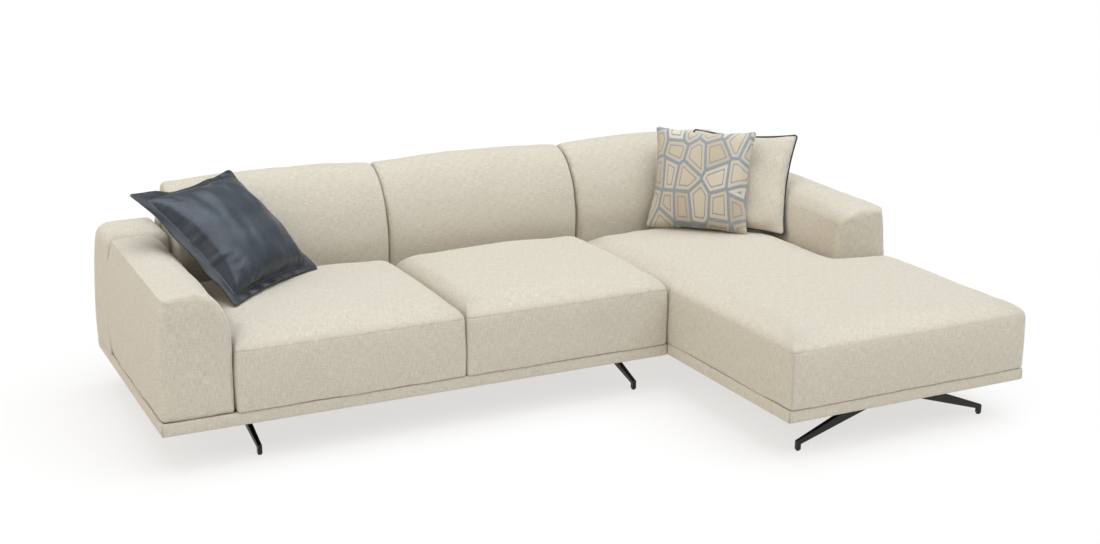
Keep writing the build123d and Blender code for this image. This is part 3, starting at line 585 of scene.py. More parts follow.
def sewn_pad(name, rings, corner_nodes, finish, cap_axes, panel_from=None, cap_shape=None, mirrored=False):
    """A closed pad from outlines along it, with a grid over each end. From panel_from on, the outlines
    belong to the end panel, whose weave runs straight across it."""
    rings = np.asarray(rings, float)
    loop, inside, cells = grid_inside(corner_nodes)
    count = len(loop)
    levels = len(rings)
    start_cap = filled(loop, inside, rings[0])
    end_cap = filled(loop, inside, rings[-1])
    if cap_shape is not None:
        end_cap = cap_shape(end_cap)
    points = np.vstack([rings.reshape(-1, 3), start_cap, end_cap])
    rim = lengths_along(rings[levels // 2], True)
    gaps = np.linalg.norm(np.diff(rings, axis=0), axis=2)
    climb = np.concatenate([[0], np.cumsum(gaps.mean(axis=1))])
    flat = points[:, list(cap_axes)].copy()
    if panel_from is not None:
        inner = rings[-1][:, list(cap_axes)]
        for level in range(panel_from, levels):
            arc = gaps[level:].sum(axis=0)[:, None]
            flat[level * count : (level + 1) * count] = drawn_in(inner, -arc)
    faces, places = [], []
    for level in range(levels - 1):
        low, high = level * count, (level + 1) * count
        a, b = climb[level], climb[level + 1]
        for k in range(count):
            after = (k + 1) % count
            face = (low + k, low + after, high + after, high + k)
            faces.append(face)
            if panel_from is not None and level >= panel_from:
                places.append([flat[vertex] for vertex in face])
            else:
                places.append([(rim[k], a), (rim[k + 1], a), (rim[k + 1], b), (rim[k], b)])
    for base, ring_start, turned in (
        (levels * count, 0, True),
        (levels * count + len(inside), (levels - 1) * count, False),
    ):
        index = {node: ring_start + k for k, node in enumerate(loop)}
        index.update({node: base + k for k, node in enumerate(inside)})
        for i, j in cells:
            face = (index[i, j], index[i + 1, j], index[i + 1, j + 1], index[i, j + 1])
            face = face[::-1] if turned else face
            faces.append(face)
            places.append([flat[vertex] for vertex in face])
    if mirrored:
        points[:, 0] *= -1
        faces = [face[::-1] for face in faces]
        places = [corner[::-1] for corner in places]
    return new_piece(name, points, faces, finish, [pair for corner in places for pair in corner])


def stored(values, key, width):
    """Values that are stored one after another on the points of a mesh, as rows of an array."""
    numbers = np.empty(len(values) * width, np.float32)
    values.foreach_get(key, numbers)
    return numbers.reshape(-1, width).astype(float)


def mesh_points(piece):
    """The points of a piece, as an array."""
    return stored(piece.data.vertices, "co", 3)


def mesh_normals(piece):
    """The direction that the surface faces at each point of a piece."""
    return stored(piece.data.vertex_normals, "vector", 3)


def set_points(piece, places):
    """Moves the points of a piece."""
    piece.data.vertices.foreach_set("co", np.asarray(places, np.float32).ravel())
    piece.data.update()


def mark_seam(piece, path, closed=False):
    """Marks a sewn line through these points of a piece, so that its cover creases sharply there and the
    linen paints shade along it.
    """
    mesh = piece.data
    for name, domain in (("crease_edge", "EDGE"), ("seam", "POINT")):
        if name not in mesh.attributes:
            mesh.attributes.new(name, "FLOAT", domain)
    path = list(path)
    pairs = {frozenset(pair) for pair in zip(path, path[1:])}
    if closed:
        pairs.add(frozenset((path[-1], path[0])))
    for edge in mesh.edges:
        if frozenset(edge.vertices) in pairs:
            mesh.attributes["crease_edge"].data[edge.index].value = 1.0
    for k in path:
        mesh.attributes["seam"].data[k].value = 1.0


def swell(piece, sewn, pressure, reach, steps=20):
    """Lets the cover of a pad swell over its filling, held at its sewn points, none moving past reach."""
    rest = mesh_points(piece)
    held = piece.vertex_groups.new(name="sewn")
    held.add(list(sewn), 1.0, "REPLACE")
    cloth = piece.modifiers.new("Cloth", "CLOTH")
    cloth.settings.vertex_group_mass = "sewn"
    cloth.settings.quality = 4
    cloth.settings.mass = 0.4
    cloth.settings.tension_stiffness = 20.0
    cloth.settings.compression_stiffness = 20.0
    cloth.settings.bending_stiffness = 2.0
    cloth.settings.use_pressure = True
    cloth.settings.uniform_pressure_force = pressure
    cloth.settings.effector_weights.gravity = 0.0
    cloth.collision_settings.use_collision = False
    for step in range(1, steps + 1):
        bpy.context.scene.frame_set(step)
    shown = piece.evaluated_get(bpy.context.evaluated_depsgraph_get())
    shift = stored(shown.data.vertices, "co", 3) - rest
    length = np.linalg.norm(shift, axis=1, keepdims=True)
    shift *= reach * np.tanh(length / reach) / np.maximum(length, 1e-9)
    piece.modifiers.remove(cloth)
    piece.vertex_groups.clear()
    bpy.context.scene.frame_set(1)
    set_points(piece, rest + shift)


def refined(piece):
    """Subdivides a pad's mesh to a smooth, finer one."""
    smooth = piece.modifiers.new("smooth", "SUBSURF")
    smooth.levels = smooth_levels
    smooth.render_levels = smooth_levels
    applied(piece)


def ripple(places, wavelength, seed, waves=7):
    """Soft random waves of about this length, between about -1 and 1."""
    chance = np.random.default_rng(seed)
    total = np.zeros(len(places))
    for wave in range(waves):
        way = chance.normal(size=3)
        way /= np.linalg.norm(way)
        length = wavelength * chance.uniform(0.7, 1.5)
        total += np.cos(2 * math.pi * (places @ way) / length + chance.uniform(0, 2 * math.pi))
    return total / math.sqrt(waves)


def unevenness(places, seed, long_wave, height, short_wave):
    """How uneven a stuffed cover is: long waves of this height, and shallow shorter ones."""
    return ripple(places, long_wave, seed + 1) * height + ripple(places, short_wave, seed + 2) * 0.0005


def quarter_roll(reach, rise, steps):
    """Steps over a rounded edge: how far in, and how far up."""
    angles = np.linspace(0, math.pi / 2, steps + 1)
    return reach * (1 - np.cos(angles)), rise * np.sin(angles)


seam_half = 0.0022
seam_depth = 0.0015
seam_lip = 0.0002
gather_reach = 0.016
gather_wave = 0.034
pad_waves = (0.21, 0.0011, 0.09)
foot_tuck = 0.0022
foot_share = 0.028
belly = 0.003
low_belly = 0.0008
top_roll = 0.046
front_roll = 1.1
roll_start = 0.0035


def rolled(inset):
    """The inset of an open edge, whose top rolls over further in than beside another cushion."""
    return inset + front_roll * max(0.0, inset - roll_start)


def boxed_rings(corners_at, counts, seam, roll_up, radii, crown):
    """Outlines of a boxed cushion: foot, band with a soft belly, seam, and the roll of the top panel."""
    levels = []
    for share in (0.0, 0.010, foot_share, 0.1, 0.25, 0.42, 0.58, 0.75, 0.9, 0.965):
        foot = foot_tuck * max(0.0, 1 - share / foot_share) ** 2
        draw = belly if share > 0.5 else low_belly
        inset = foot + draw * (1 - math.sin(math.pi * min(1.0, share * 1.02)) ** 0.6)
        levels.append((pad_floor + share * (seam - seam_half - pad_floor), inset, radii[0], 0.0))
    levels.append((seam - seam_half, belly, radii[0], 0.0))
    levels.append((seam, belly + seam_depth, radii[0], 0.0))
    levels.append((seam + seam_half, belly + seam_lip, radii[0], 0.02))
    seam_ring = len(levels) - 2
    over_in, over_up = quarter_roll(top_roll, roll_up - seam_half, 7)
    for step in range(1, len(over_in)):
        share = step / (len(over_in) - 1)
        radius = np.add(radii[0], np.subtract(radii[1], radii[0]) * share)
        inset = belly + seam_lip + over_in[step]
        levels.append((seam + seam_half + over_up[step], inset, radius, share**1.5))
    rings = []
    for height, inset, radius, share in levels:
        outline = rounded_outline(corners_at(inset), radius, counts)
        lift = share * crown(outline[:, 0], outline[:, 1])
        rings.append(np.column_stack([outline, height + lift]))
    return rings, seam_ring


def bow(share):
    """A soft arch from 0 at both ends to 1 between them."""
    return np.sin(math.pi * np.clip(share, 0, 1)) ** 0.8


def crowned(across, along, heights):
    """How far a top rises, by its arch across, its arch along and both together."""
    return heights[0] * across + heights[1] * along + heights[2] * across * along


def domed(crown, top):
    """A function that lifts the end of a pad to its crown above this height."""
    return lambda cap: np.column_stack([cap[:, :2], top + crown(cap[:, 0], cap[:, 1])])


def boxed_pad(name, node, rings, nodes, seam_ring, dome, seed, filling, seamed=True, corner_seamed=False):
    """Sews a boxed pad with a seam round it, swells it over its filling, and gathers its cover."""
    pressure, reach, gathers, fill = filling
    pad = sewn_pad(name, rings, nodes, linen, (0, 1), seam_ring, dome)
    count = len(rings[0])
    seam_path = list(range(seam_ring * count, (seam_ring + 1) * count))
    if seamed:
        mark_seam(pad, seam_path, True)
    if corner_seamed:
        mark_seam(pad, [level * count for level in range(seam_ring + 1)])
    under = len(rings) * count
    sewn = list(range(2 * count)) + seam_path + list(range(under, under + len(grid_inside(nodes)[1])))
    swell(pad, sewn, pressure, reach)
    refined(pad)
    places = mesh_points(pad)
    facing = mesh_normals(pad)
    seam = rings[seam_ring][0, 2]
    near = np.exp(-np.abs(places[:, 2] - seam) / gather_reach) * (1 - np.abs(facing[:, 2])).clip(0, 1)
    swing = ripple(places * (1, 1, 0.25), gather_wave, seed) * near * gathers
    slow = unevenness(places, seed, *pad_waves)
    set_points(pad, places + facing * (swing + slow)[:, None])
    upholster(pad, node)


# Pressure and reach of the swelling, height of the gathers, and how full.
soft_filling = (1.5, 0.004, 0.0011, 0.85)
firm_filling = (0.8, 0.003, 0.0007, 0.95)
crown_run = 0.10
seat_seam, seat_roll = 0.400, 0.042
seat_crowns = (0.009, 0.017, 0.006)
seat_steps = (34, 31)
seat_radii = ((0.006, 0.006, 0.013, 0.013), (0.036, 0.036, 0.040, 0.040))


def seat_cushion(name, x0, x1, seed):
    """A boxed seat between two sides, from the front of the sofa to its back cushions."""
    y0, y1 = sofa_front - pad_overhang, back_face - pad_gap

    def corners_at(inset):
        return rectangle(x0 + inset, x1 - inset, y0 + rolled(inset), y1 - inset)

    def crown(x, y):
        across, along = bow((x - x0) / (x1 - x0)), bow((y - y0) / (y1 - y0 + crown_run))
        return crowned(across, along, seat_crowns)

    rings, seam_ring = boxed_rings(corners_at, seat_steps * 2, seat_seam, seat_roll, seat_radii, crown)
    nodes = rectangle(0, seat_steps[0], 0, seat_steps[1])
    dome = domed(crown, seat_seam + seat_roll)
    boxed_pad(name, f"{name}_cushion", rings, nodes, seam_ring, dome, seed, soft_filling)


seat_cushion("left_seat", *spans["left"], 11)
seat_cushion("middle_seat", *spans["middle"], 23)

# Chaise cushion. The same boxed make, long, and narrower beside the right arm.
# Its band is joined by an upright seam at the front left corner.

chaise_seam, chaise_roll = 0.388, 0.040
chaise_plan = (
    chaise_left + pad_gap,
    half_width + pad_overhang,
    -half_depth - pad_overhang,
    back_face - pad_gap,
)
chaise_radii = ((0.008, 0.024, 0.022, 0.013, 0.013, 0.013), (0.030, 0.046, 0.040, 0.034, 0.036, 0.034))
chaise_crowns = (0.009, 0.013, 0.005)
arm_blend = 0.24
dip_depth = 0.012
dip_beside = 0.12
dip_size = (0.16, 0.14)
corner_draw = 0.0011
beside_arm = sofa_front - pad_gap
along_arm = arm_inner - pad_gap


def chaise_corners(inset):
    """The outline of the chaise cushion at this inset."""
    x0, x1, y0, y1 = chaise_plan
    outer = rolled(inset)
    return (
        (x0 + outer, y0 + outer),
        (x1 - outer, y0 + outer),
        (x1 - outer, beside_arm - inset),
        (along_arm - inset, beside_arm - inset),
        (along_arm - inset, y1 - inset),
        (x0 + outer, y1 - inset),
    )


def chaise_crown(x, y):
    """How far the top of the chaise cushion rises above its roll, with a dip at the arm's corner."""
    x0, x1, y0, y1 = chaise_plan
    wide = bow((x - x0) / (x1 - x0))
    narrow = bow((x - x0) / (along_arm - x0))
    beside = np.clip((y - beside_arm) / arm_blend + 0.5, 0, 1)
    across = wide * (1 - beside) + narrow * beside
    along = bow((y - y0) / (y1 - y0 + crown_run))
    off_x, off_y = (x - along_arm - dip_beside) / dip_size[0], (y - beside_arm) / dip_size[1]
    dip = np.exp(-(off_x**2) - off_y**2)
    return crowned(across, along, chaise_crowns) - dip_depth * dip


wide_steps, narrow_steps, reach_steps, rear_steps = 9, 24, 27, 25
all_wide, all_long = narrow_steps + wide_steps, reach_steps + rear_steps
chaise_counts = (all_wide, reach_steps, wide_steps, rear_steps, narrow_steps, all_long)
chaise_nodes = (
    (0, 0),
    (all_wide, 0),
    (all_wide, reach_steps),
    (narrow_steps, reach_steps),
    (narrow_steps, all_long),
    (0, all_long),
)
chaise_rings, chaise_seam_ring = boxed_rings(
    chaise_corners, chaise_counts, chaise_seam, chaise_roll, chaise_radii, chaise_crown
)
for level in range(chaise_seam_ring + 1):
    chaise_rings[level][0, :2] += corner_draw
boxed_pad(
    "chaise_seat",
    "chaise_seat_cushion",
    chaise_rings,
    chaise_nodes,
    chaise_seam_ring,
    domed(chaise_crown, chaise_seam + chaise_roll),
    37,
    soft_filling,
    corner_seamed=True,
)

# Back cushions. Upright in front, rolled over at the shoulder, with a ridge near the rear.
# Sewn ends are drawn in between neighbours, and a seam runs along the top, in front of the ridge.

panel_face = 0.8605
back_front_line = (
    (0.6155, 0.1945),
    (0.6130, 0.3000),
    (0.6125, 0.4350),
    (0.6085, 0.5180),
    (0.6200, 0.5880),
    (0.6420, 0.6560),
    (0.6900, 0.7280),
    (0.7450, 0.7690),
)
back_top_line = ((0.7720, 0.7790), (0.8020, 0.7840), (0.8300, 0.7790), (0.8470, 0.7640))
back_rear_line = ((0.8560, 0.7350), (0.8585, 0.6800), (0.8585, 0.4500), (0.8585, 0.1945))
ridge_share = 0.68
ridge_draw = 0.0018
back_end_round = 0.020
back_arch = 0.013
arch_from, arch_over = 0.50, 0.28
back_fullness = 0.004
full_from, full_over = 0.40, 0.36
back_swelling = (1.2, 0.004)
end_gather = 0.045
edge_wave = 0.036
calm_reach = 0.01
back_waves = (0.24, 0.0014, 0.1)


def points_at(path, travel, wanted):
    """The points of a path at these distances along it."""
    return np.column_stack([np.interp(wanted, travel, path[:, axis]) for axis in range(2)])


def along_line(line, count):
    """Points spread evenly along a smooth line through these places."""
    line = np.asarray(line, float)
    path = [line[0]]
    for k in range(len(line) - 1):
        before = line[max(k - 1, 0)]
        here, there = line[k], line[k + 1]
        beyond = line[min(k + 2, len(line) - 1)]
        for share in np.linspace(0, 1, 13)[1:]:
            bend = (
                2 * here
                + (there - before) * share
                + (2 * before - 5 * here + 4 * there - beyond) * share**2
                + (3 * here - before - 3 * there + beyond) * share**3
            )
            path.append(bend / 2)
    path = np.array(path)
    travel = lengths_along(path)
    return points_at(path, travel, np.linspace(0, travel[-1], count + 1))


def beside_seam(line, count, seam_first, seam_last):
    """Points along a smooth line, all but its last, with a point close to each end that is a seam."""
    spread = along_line(line, 200)
    travel = lengths_along(spread)
    first = seam_half if seam_first else 0.0
    last = travel[-1] - (seam_half if seam_last else 0.0)
    inner = count + 1 - seam_first - seam_last
    wanted = np.concatenate(
        [[0.0] if seam_first else [], np.linspace(first, last, inner), [travel[-1]] if seam_last else []]
    )
    return points_at(spread, travel, wanted)[:-1]


def split_line(line, share):
    """A smooth line cut in two at this share of its length."""
    spread = along_line(line, 60)
    cut = round(share * 60)
    return spread[: cut + 1], spread[cut:]


def end_rounding(length, rounding, steps):
    """Places along a pad with rounded ends, and how far its outline is drawn in at each."""
    angles = np.linspace(0, math.pi / 2, steps + 1)
    start = rounding * (1 - np.cos(angles))
    inset = rounding * (1 - np.sin(angles))
    between = np.linspace(rounding, length - rounding, max(3, round(length / 0.032)))[1:-1]
    places = np.concatenate([start, between, length - start[::-1]])
    insets = np.concatenate([inset, np.zeros(len(between)), inset[::-1]])
    return zip(places, insets)


def back_cushion(name, x0, x1, seed, gathers):
    """One back cushion between two ends."""
    length = x1 - x0
    deep, tall, behind_steps = 12, 26, 7
    top = (back_rear_line[0],) + back_top_line[::-1] + (back_front_line[-1],)
    behind, before = split_line(top, ridge_share)
    outline = np.vstack(
        [
            along_line((back_front_line[0], back_rear_line[-1]), deep)[:-1],
            along_line(back_rear_line[::-1], tall)[:-1],
            beside_seam(behind, behind_steps, False, True),
            beside_seam(before, deep - behind_steps, True, False),
            along_line(back_front_line[::-1], tall)[:-1],
        ]
    )
    ridge = deep + tall + behind_steps
    rings = []
    for travel, inset in end_rounding(length, back_end_round, 6):
        section = drawn_in(outline, inset)
        section[ridge] += (0.0, -ridge_draw)
        rise = np.clip((section[:, 1] - arch_from) / arch_over, 0, 1) ** 1.3
        arch = 1 - (2 * travel / length - 1) ** 2
        section[:, 1] += back_arch * rise * arch
        full = np.sin(math.pi * np.clip((section[:, 1] - full_from) / full_over, 0, 1))
        section[:, 0] -= back_fullness * arch * full
        rings.append(np.column_stack([np.full(len(section), x0 + travel), section]))
    cushion = sewn_pad(name, rings, rectangle(0, deep, 0, tall), linen, (1, 2))
    count = len(outline)
    ridge_path = [level * count + ridge for level in range(len(rings))]
    mark_seam(cushion, ridge_path)
    sewn = ridge_path + [level * count + k for level in range(len(rings)) for k in range(deep + tall)]
    sewn += list(range(count)) + list(range((len(rings) - 1) * count, len(rings) * count))
    swell(cushion, sewn, *back_swelling)
    refined(cushion)
    points = mesh_points(cushion)
    from_left, from_right = points[:, 0] - x0, x1 - points[:, 0]
    near_left, near_right = np.exp(-from_left / end_gather), np.exp(-from_right / end_gather)
    near_ends = gathers[0] * near_left + gathers[1] * near_right
    pucker = ripple(points * (0.25, 1, 1), edge_wave, seed) * near_ends
    slow = unevenness(points, seed, *back_waves)
    calm = np.clip(np.minimum(from_left, from_right) / calm_reach, 0, 1)
    set_points(cushion, points + mesh_normals(cushion) * (calm * (pucker + slow))[:, None])
    upholster(cushion, f"{name}_cushion")


back_cushion("left_back", *spans["left"], 41, (0.0008, 0.0010))
back_cushion("middle_back", *spans["middle"], 53, (0.0010, 0.0012))
back_cushion("right_back", *spans["right"], 67, (0.0020, 0.0010))

# Back panels and corner blocks. Firm upholstered pads on the timber back frame, behind the cushions.
# The blocks close the corners behind the arms. All lean in a little; the panels have a seam round the top.

panel_top = 0.640
panel_crown = 0.006
firm_foot = 0.0045
firm_foot_share = 0.016
least_round = 0.004
rear_lean = 0.010
block_lean = 0.028
block_width = 0.238
block_front = 0.6590
block_roll = 0.046
panel_roll = 0.018
pad_rear = half_depth + pad_overhang
panel_inner = half_width - block_width


def firm_pad(name, node, x0, x1, y0, lean_x, roll, radius, steps, seed, seamed):
    """An upright pad that leans in towards its top, with a rolled top edge, some with a seam under it."""
    seam = panel_top - roll
    levels = []
    for share in (0.0, 0.006, firm_foot_share, 0.12, 0.25, 0.4, 0.55, 0.7, 0.85, 0.95, 0.985):
        foot = firm_foot * max(0.0, 1 - share / firm_foot_share) ** 2
        levels.append((pad_floor + share * (seam - seam_half - pad_floor), foot))
    groove = seam_depth * 0.8 if seamed else 0.0001
    levels += [(seam - seam_half, 0.0), (seam, groove), (seam + seam_half, seam_lip)]
    seam_ring = len(levels) - 2
    over_in, over_up = quarter_roll(roll, roll - seam_half, 6)
    levels += [(seam + seam_half + up, seam_lip + inward) for inward, up in zip(over_in[1:], over_up[1:])]
    rings = []
    for height, inset in levels:
        lean = ((height - pad_floor) / (panel_top - pad_floor)) ** 3
        left = x0 + max(lean_x, 0.0) * lean
        right = x1 - max(-lean_x, 0.0) * lean
        rear = pad_rear - rear_lean * lean
        corners = rectangle(left + inset, right - inset, y0 + inset, rear - inset)
        radii = np.maximum(np.array(radius) - 0.5 * inset, least_round)
        outline = rounded_outline(corners, radii, steps * 2)
        rings.append(np.column_stack([outline, np.full(len(outline), height)]))

    def crown(x, y):
        return panel_crown * bow((x - x0) / (x1 - x0)) * bow((y - y0) / (pad_rear - y0))

    nodes = rectangle(0, steps[0], 0, steps[1])
    boxed_pad(name, node, rings, nodes, seam_ring, domed(crown, panel_top), seed, firm_filling, seamed)


for side, x0, x1, lean, radius, seed in (
    ("left", -half_width - pad_overhang, -panel_inner, block_lean, (0.004, 0.016, 0.016, 0.040), 71),
    ("right", panel_inner, half_width + pad_overhang, -block_lean, (0.016, 0.004, 0.040, 0.016), 73),
):
    node = f"{side}_corner_block"
    firm_pad(f"{side}_block", node, x0, x1, block_front, lean, block_roll, radius, (14, 14), seed, False)
for module, x0, x1, steps, seed in (
    ("sofa", -panel_inner + pad_gap, sofa_right - pad_gap, (56, 5), 79),
    ("chaise", chaise_left + pad_gap, panel_inner - pad_gap, (32, 5), 83),
):
    node = f"{module}_back_panel"
    firm_pad(f"{module}_rear_panel", node, x0, x1, panel_face, 0.0, panel_roll, 0.014, steps, seed, True)

# Arms. Wide padded arms over timber posts: an outer side, a front panel, and a top that rolls to the seat.
# Seams run along the outer top edge and the inner roll, and on the left arm round the front panel,
# while the right arm's front has a soft, fuller edge.

arm_rear = 0.6575
arm_bottom_line = ((0.002, pad_floor), (0.2465, pad_floor))
arm_inner_line = (
    (0.2465, pad_floor),
    (0.249, 0.3400),
    (0.2485, 0.4600),
    (0.2350, 0.5250),
    (0.2130, 0.5700),
    (0.1840, 0.6010),
)
arm_top_line = ((0.1840, 0.6010), (0.1500, 0.6135), (0.1000, 0.6150), (0.0550, 0.6130), (0.0230, 0.6060))
arm_outer_line = (
    (0.0230, 0.6060),
    (0.0060, 0.5300),
    (-0.0050, 0.4000),
    (-0.0045, 0.3000),
    (0.002, pad_floor),
)
roll_seam_share = 0.87
rear_round = 0.036
left_front_round, right_front_round = 0.022, 0.032
arm_rise = 0.022
corner_soften = 0.011
corner_soft_length = 0.06
corner_soft_width = 0.05
outer_draw, inner_draw = 0.03, 0.75
roll_from, roll_over = 0.52, 0.08
rise_from, rise_over = 0.30, 0.30
fuller_by = 0.022
fuller_from, fuller_over = 0.26, 0.22
fuller_height, fuller_tall = 0.585, 0.05
fuller_inward, fuller_wide = 0.13, 0.06
arm_swelling = (1.0, 0.004)
arm_gather = 0.0008
arm_edge, arm_edge_reach = 0.006, 0.014
arm_waves = (0.22, 0.0013, 0.09)


def arm(name, side, seed):
    """One arm, made as the left one and mirrored for the right."""
    low, tall, roll_steps = 12, 22, 5
    inner_side, inner_roll = split_line(arm_inner_line, roll_seam_share)
    outline = np.vstack(
        [
            along_line(arm_bottom_line, low)[:-1],
            beside_seam(inner_side, tall - roll_steps, False, True),
            beside_seam(inner_roll, roll_steps, True, False),
            beside_seam(arm_top_line, low, False, True),
            beside_seam(arm_outer_line, tall, True, False),
        ]
    )
    top_seam = low + tall + low
    roll_seam = low + tall - roll_steps
    count = len(outline)
    side_share = np.where(np.arange(count) >= top_seam, outer_draw, inner_draw)
    top_share = np.clip((outline[:, 1] - roll_from) / roll_over, 0, 1)
    rear_draw = side_share + (1 - side_share) * top_share
    length = arm_rear - sofa_front
    front_round = left_front_round if side < 0 else right_front_round
    angles = np.linspace(0, math.pi / 2, 8)
    stations = [(length - rear_round * (1 - math.cos(a)), rear_round * (1 - math.sin(a))) for a in angles]
    stations += [(travel, 0.0) for travel in np.linspace(length - rear_round, front_round, 26)[1:-1]]
    stations += [(front_round * (1 - math.cos(a)), front_round * (1 - math.sin(a))) for a in angles[::-1]]
    seam_ring = len(stations) - 4
    panel_edge = slice(low, top_seam + 1)
    rings = []
    for station, (travel, inset) in enumerate(stations):
        section = outline.copy()
        softer = corner_soften * np.clip(1 - travel / corner_soft_length, 0, 1) ** 2
        section[:, 0] += softer * np.clip(1 - section[:, 0] / corner_soft_width, 0, 1)
        if side > 0:
            fuller = np.clip((fuller_from - travel) / fuller_over, 0, 1) ** 1.5
            at_roll = np.exp(-(((section[:, 1] - fuller_height) / fuller_tall) ** 2))
            inward = np.clip((section[:, 0] - fuller_inward) / fuller_wide, 0, 1)
            section[:, 0] += fuller_by * fuller * at_roll * inward
        section = drawn_in(section, (inset * rear_draw if station < 10 else np.full(count, inset))[:, None])
        section[top_seam] += (seam_depth * 0.55, -seam_depth * 0.4)
        section[roll_seam] += (-seam_depth * 0.4, -seam_depth * 0.25)
        rise = np.clip((section[:, 1] - rise_from) / rise_over, 0, 1) ** 1.5
        section[:, 1] += arm_rise * rise * travel / length
        if station == seam_ring and side < 0:
            section[panel_edge] = drawn_in(section, seam_depth * 0.9)[panel_edge]
        x = -half_width + section[:, 0]
        rings.append(np.column_stack([x, np.full(count, sofa_front + travel), section[:, 1]]))
    pad = sewn_pad(name, rings, rectangle(0, low, 0, tall), linen, (0, 2), mirrored=side > 0)
    sewn = []
    for line in (top_seam, roll_seam):
        seam_path = [level * count + line for level in range(seam_ring + 1)]
        mark_seam(pad, seam_path)
        sewn += seam_path
    if side < 0:
        mark_seam(pad, range(seam_ring * count + low + 2, seam_ring * count + top_seam + 1))
    sewn += [level * count + k for level in range(len(rings)) for k in range(low + 8)]
    sewn += list(range(count)) + list(range(seam_ring * count, (seam_ring + 1) * count))
    swell(pad, sewn, *arm_swelling)
    refined(pad)
    points = mesh_points(pad)
    front_edge = np.exp(-np.abs(points[:, 1] - sofa_front - arm_edge) / arm_edge_reach)
    swing = ripple(points, edge_wave, seed) * arm_gather * front_edge
    slow = unevenness(points, seed, *arm_waves)
    set_points(pad, points + mesh_normals(pad) * (swing + slow)[:, None])
    upholster(pad, f"{name}_pad")


arm("left_arm", -1, 89)
arm("right_arm", 1, 97)

# Leather pillow. Two panels of dark blue semi-gloss leather sewn inside a flat flange, leaning in the corner.
# Creased towards its seams and rubbed paler in patches; the flange waves, and is stitched all round.

creased_leather, tree, shader = new_finish(
    "creased_leather", Specular_IOR_Level=0.5, Coat_Weight=0.14, Coat_Roughness=0.2
)
hide = weave_place(tree)
pebble = add_node(tree, "ShaderNodeTexVoronoi", {"Vector": hide, "Scale": 620.0}).outputs["Distance"]
cloud = grain(tree, hide, 9.0, 4.0)
crease = grain(tree, stretched(tree, hide, (1.0, 1.6, 1.0)), 30.0, 4.0)
fold = ramp(tree, maths(tree, "ABSOLUTE", maths(tree, "SUBTRACT", crease, 0.5)), 0.0, 0.03)
worn = ramp(tree, cloud, 0.36, 0.70)
edge_share = ramp(tree, attribute(tree, "flange"), 0.0, 0.12)
hide_tone = blended(tree, worn, (0.009, 0.0155, 0.025, 1), (0.024, 0.038, 0.056, 1))
# painted shade: the hide is darkened along its fine crease lines
hide_with_crease_shade = blended(tree, fold, (0.010, 0.013, 0.019, 1), hide_tone)
two_tone(tree, shader, edge_share, hide_with_crease_shade, (0.005, 0.007, 0.011, 1))
gloss = add_node(tree, "ShaderNodeMapRange", {0: cloud, 1: 0.3, 2: 0.7, 3: 0.46, 4: 0.30})
tree.links.new(gloss.outputs[0], shader.inputs["Roughness"])
raise_surface(tree, shader, weighted(tree, pebble, 0.5, fold, 0.30), 0.0006)

flange_shares = (0.05, 0.16, 0.40, 0.70, 0.93)
flange_half = 0.0026
flange_corner = 0.010
pillow_seam = 0.0015


def pillow_axes(turn, lean):
    """The directions of a pillow that leans back: along its foot, up its face and out of its front."""
    turn_angle, lean_angle = math.radians(turn), math.radians(lean)
    along = np.array((math.cos(turn_angle), math.sin(turn_angle), 0.0))
    behind = np.array((-math.sin(turn_angle), math.cos(turn_angle), 0.0))
    up = behind * math.sin(lean_angle) + np.array((0.0, 0.0, math.cos(lean_angle)))
    return np.array((along, up, np.cross(along, up)))


def pillow_rim(size, pull, corner, steps):
    """Points round a square pillow whose sides are drawn in between its corners."""
    half = size / 2
    flat = rounded_outline(rectangle(-half, half, -half, half), corner, (steps,) * 4)
    share = np.clip(1 - (np.abs(flat) / half) ** 2, 0, 1)
    return flat - np.sign(flat) * pull * share[:, ::-1] * (np.abs(flat) / half) ** 4


def pillow_fullness(flat, half, full):
    """How far a pillow's panel stands out of its seam, at places across it."""
    share = np.clip(1 - (np.abs(flat) / half) ** 2.2, 0, 1)
    return full * (share[:, 0] * share[:, 1]) ** 0.42


def sewn_pillow(name, finish, size, front, back, pull, corner, steps, swelling, flange=0.0, flange_pull=0.0):
    """A stuffed pillow lying flat at the origin, its front up, with a flange of this width round it."""
    rim = pillow_rim(size, pull, corner, steps)
    edge = drawn_in(rim, -0.0012)
    outer = [(1.0, 0.0)]
    if flange:
        edge = pillow_rim(size + 2 * flange, flange_pull, flange_corner, steps)
        outer = [(share, -flange_half) for share in flange_shares]
        outer += [(0.985, -0.0018), (1.0, 0.0), (0.985, 0.0018)]
        outer += [(share, flange_half) for share in reversed(flange_shares)]
    levels = [(0.0, -pillow_seam)] + outer + [(0.0, pillow_seam)]
    rings = [np.column_stack([rim + (edge - rim) * share, np.full(len(rim), z)]) for share, z in levels]
    pillow = sewn_pad(name, rings, rectangle(0, steps, 0, steps), finish, (0, 1), 0)
    points = mesh_points(pillow)
    count = len(rings) * len(rim)
    cap = (len(points) - count) // 2
    half = size / 2 - pull * 0.3
    points[count : count + cap, 2] -= pillow_fullness(points[count : count + cap, :2], half, back)
    points[count + cap :, 2] += pillow_fullness(points[count + cap :, :2], half, front)
    set_points(pillow, points)
    out = pillow.data.attributes.new("flange", "FLOAT", "POINT")
    for level, (share, z) in enumerate(levels):
        for k in range(len(rim)):
            out.data[level * len(rim) + k].value = share if flange else 0.0
    mark_seam(pillow, range(count - len(rim), count), True)
    swell(pillow, range(count + cap), *swelling)
    refined(pillow)
    return pillow, rim, edge


def place_pillow(pillow, points, centre, axes):
    """Turns points of a pillow from lying flat to where it stands."""
    set_points(pillow, np.asarray(centre) + points @ axes)


def stuffed(pillow, body):
    """Attaches a pillow to its body, and hides the cover and insert of the model that it stands for."""
    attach(pillow, body)
    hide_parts(f"{body}_cover", f"{body}_insert")


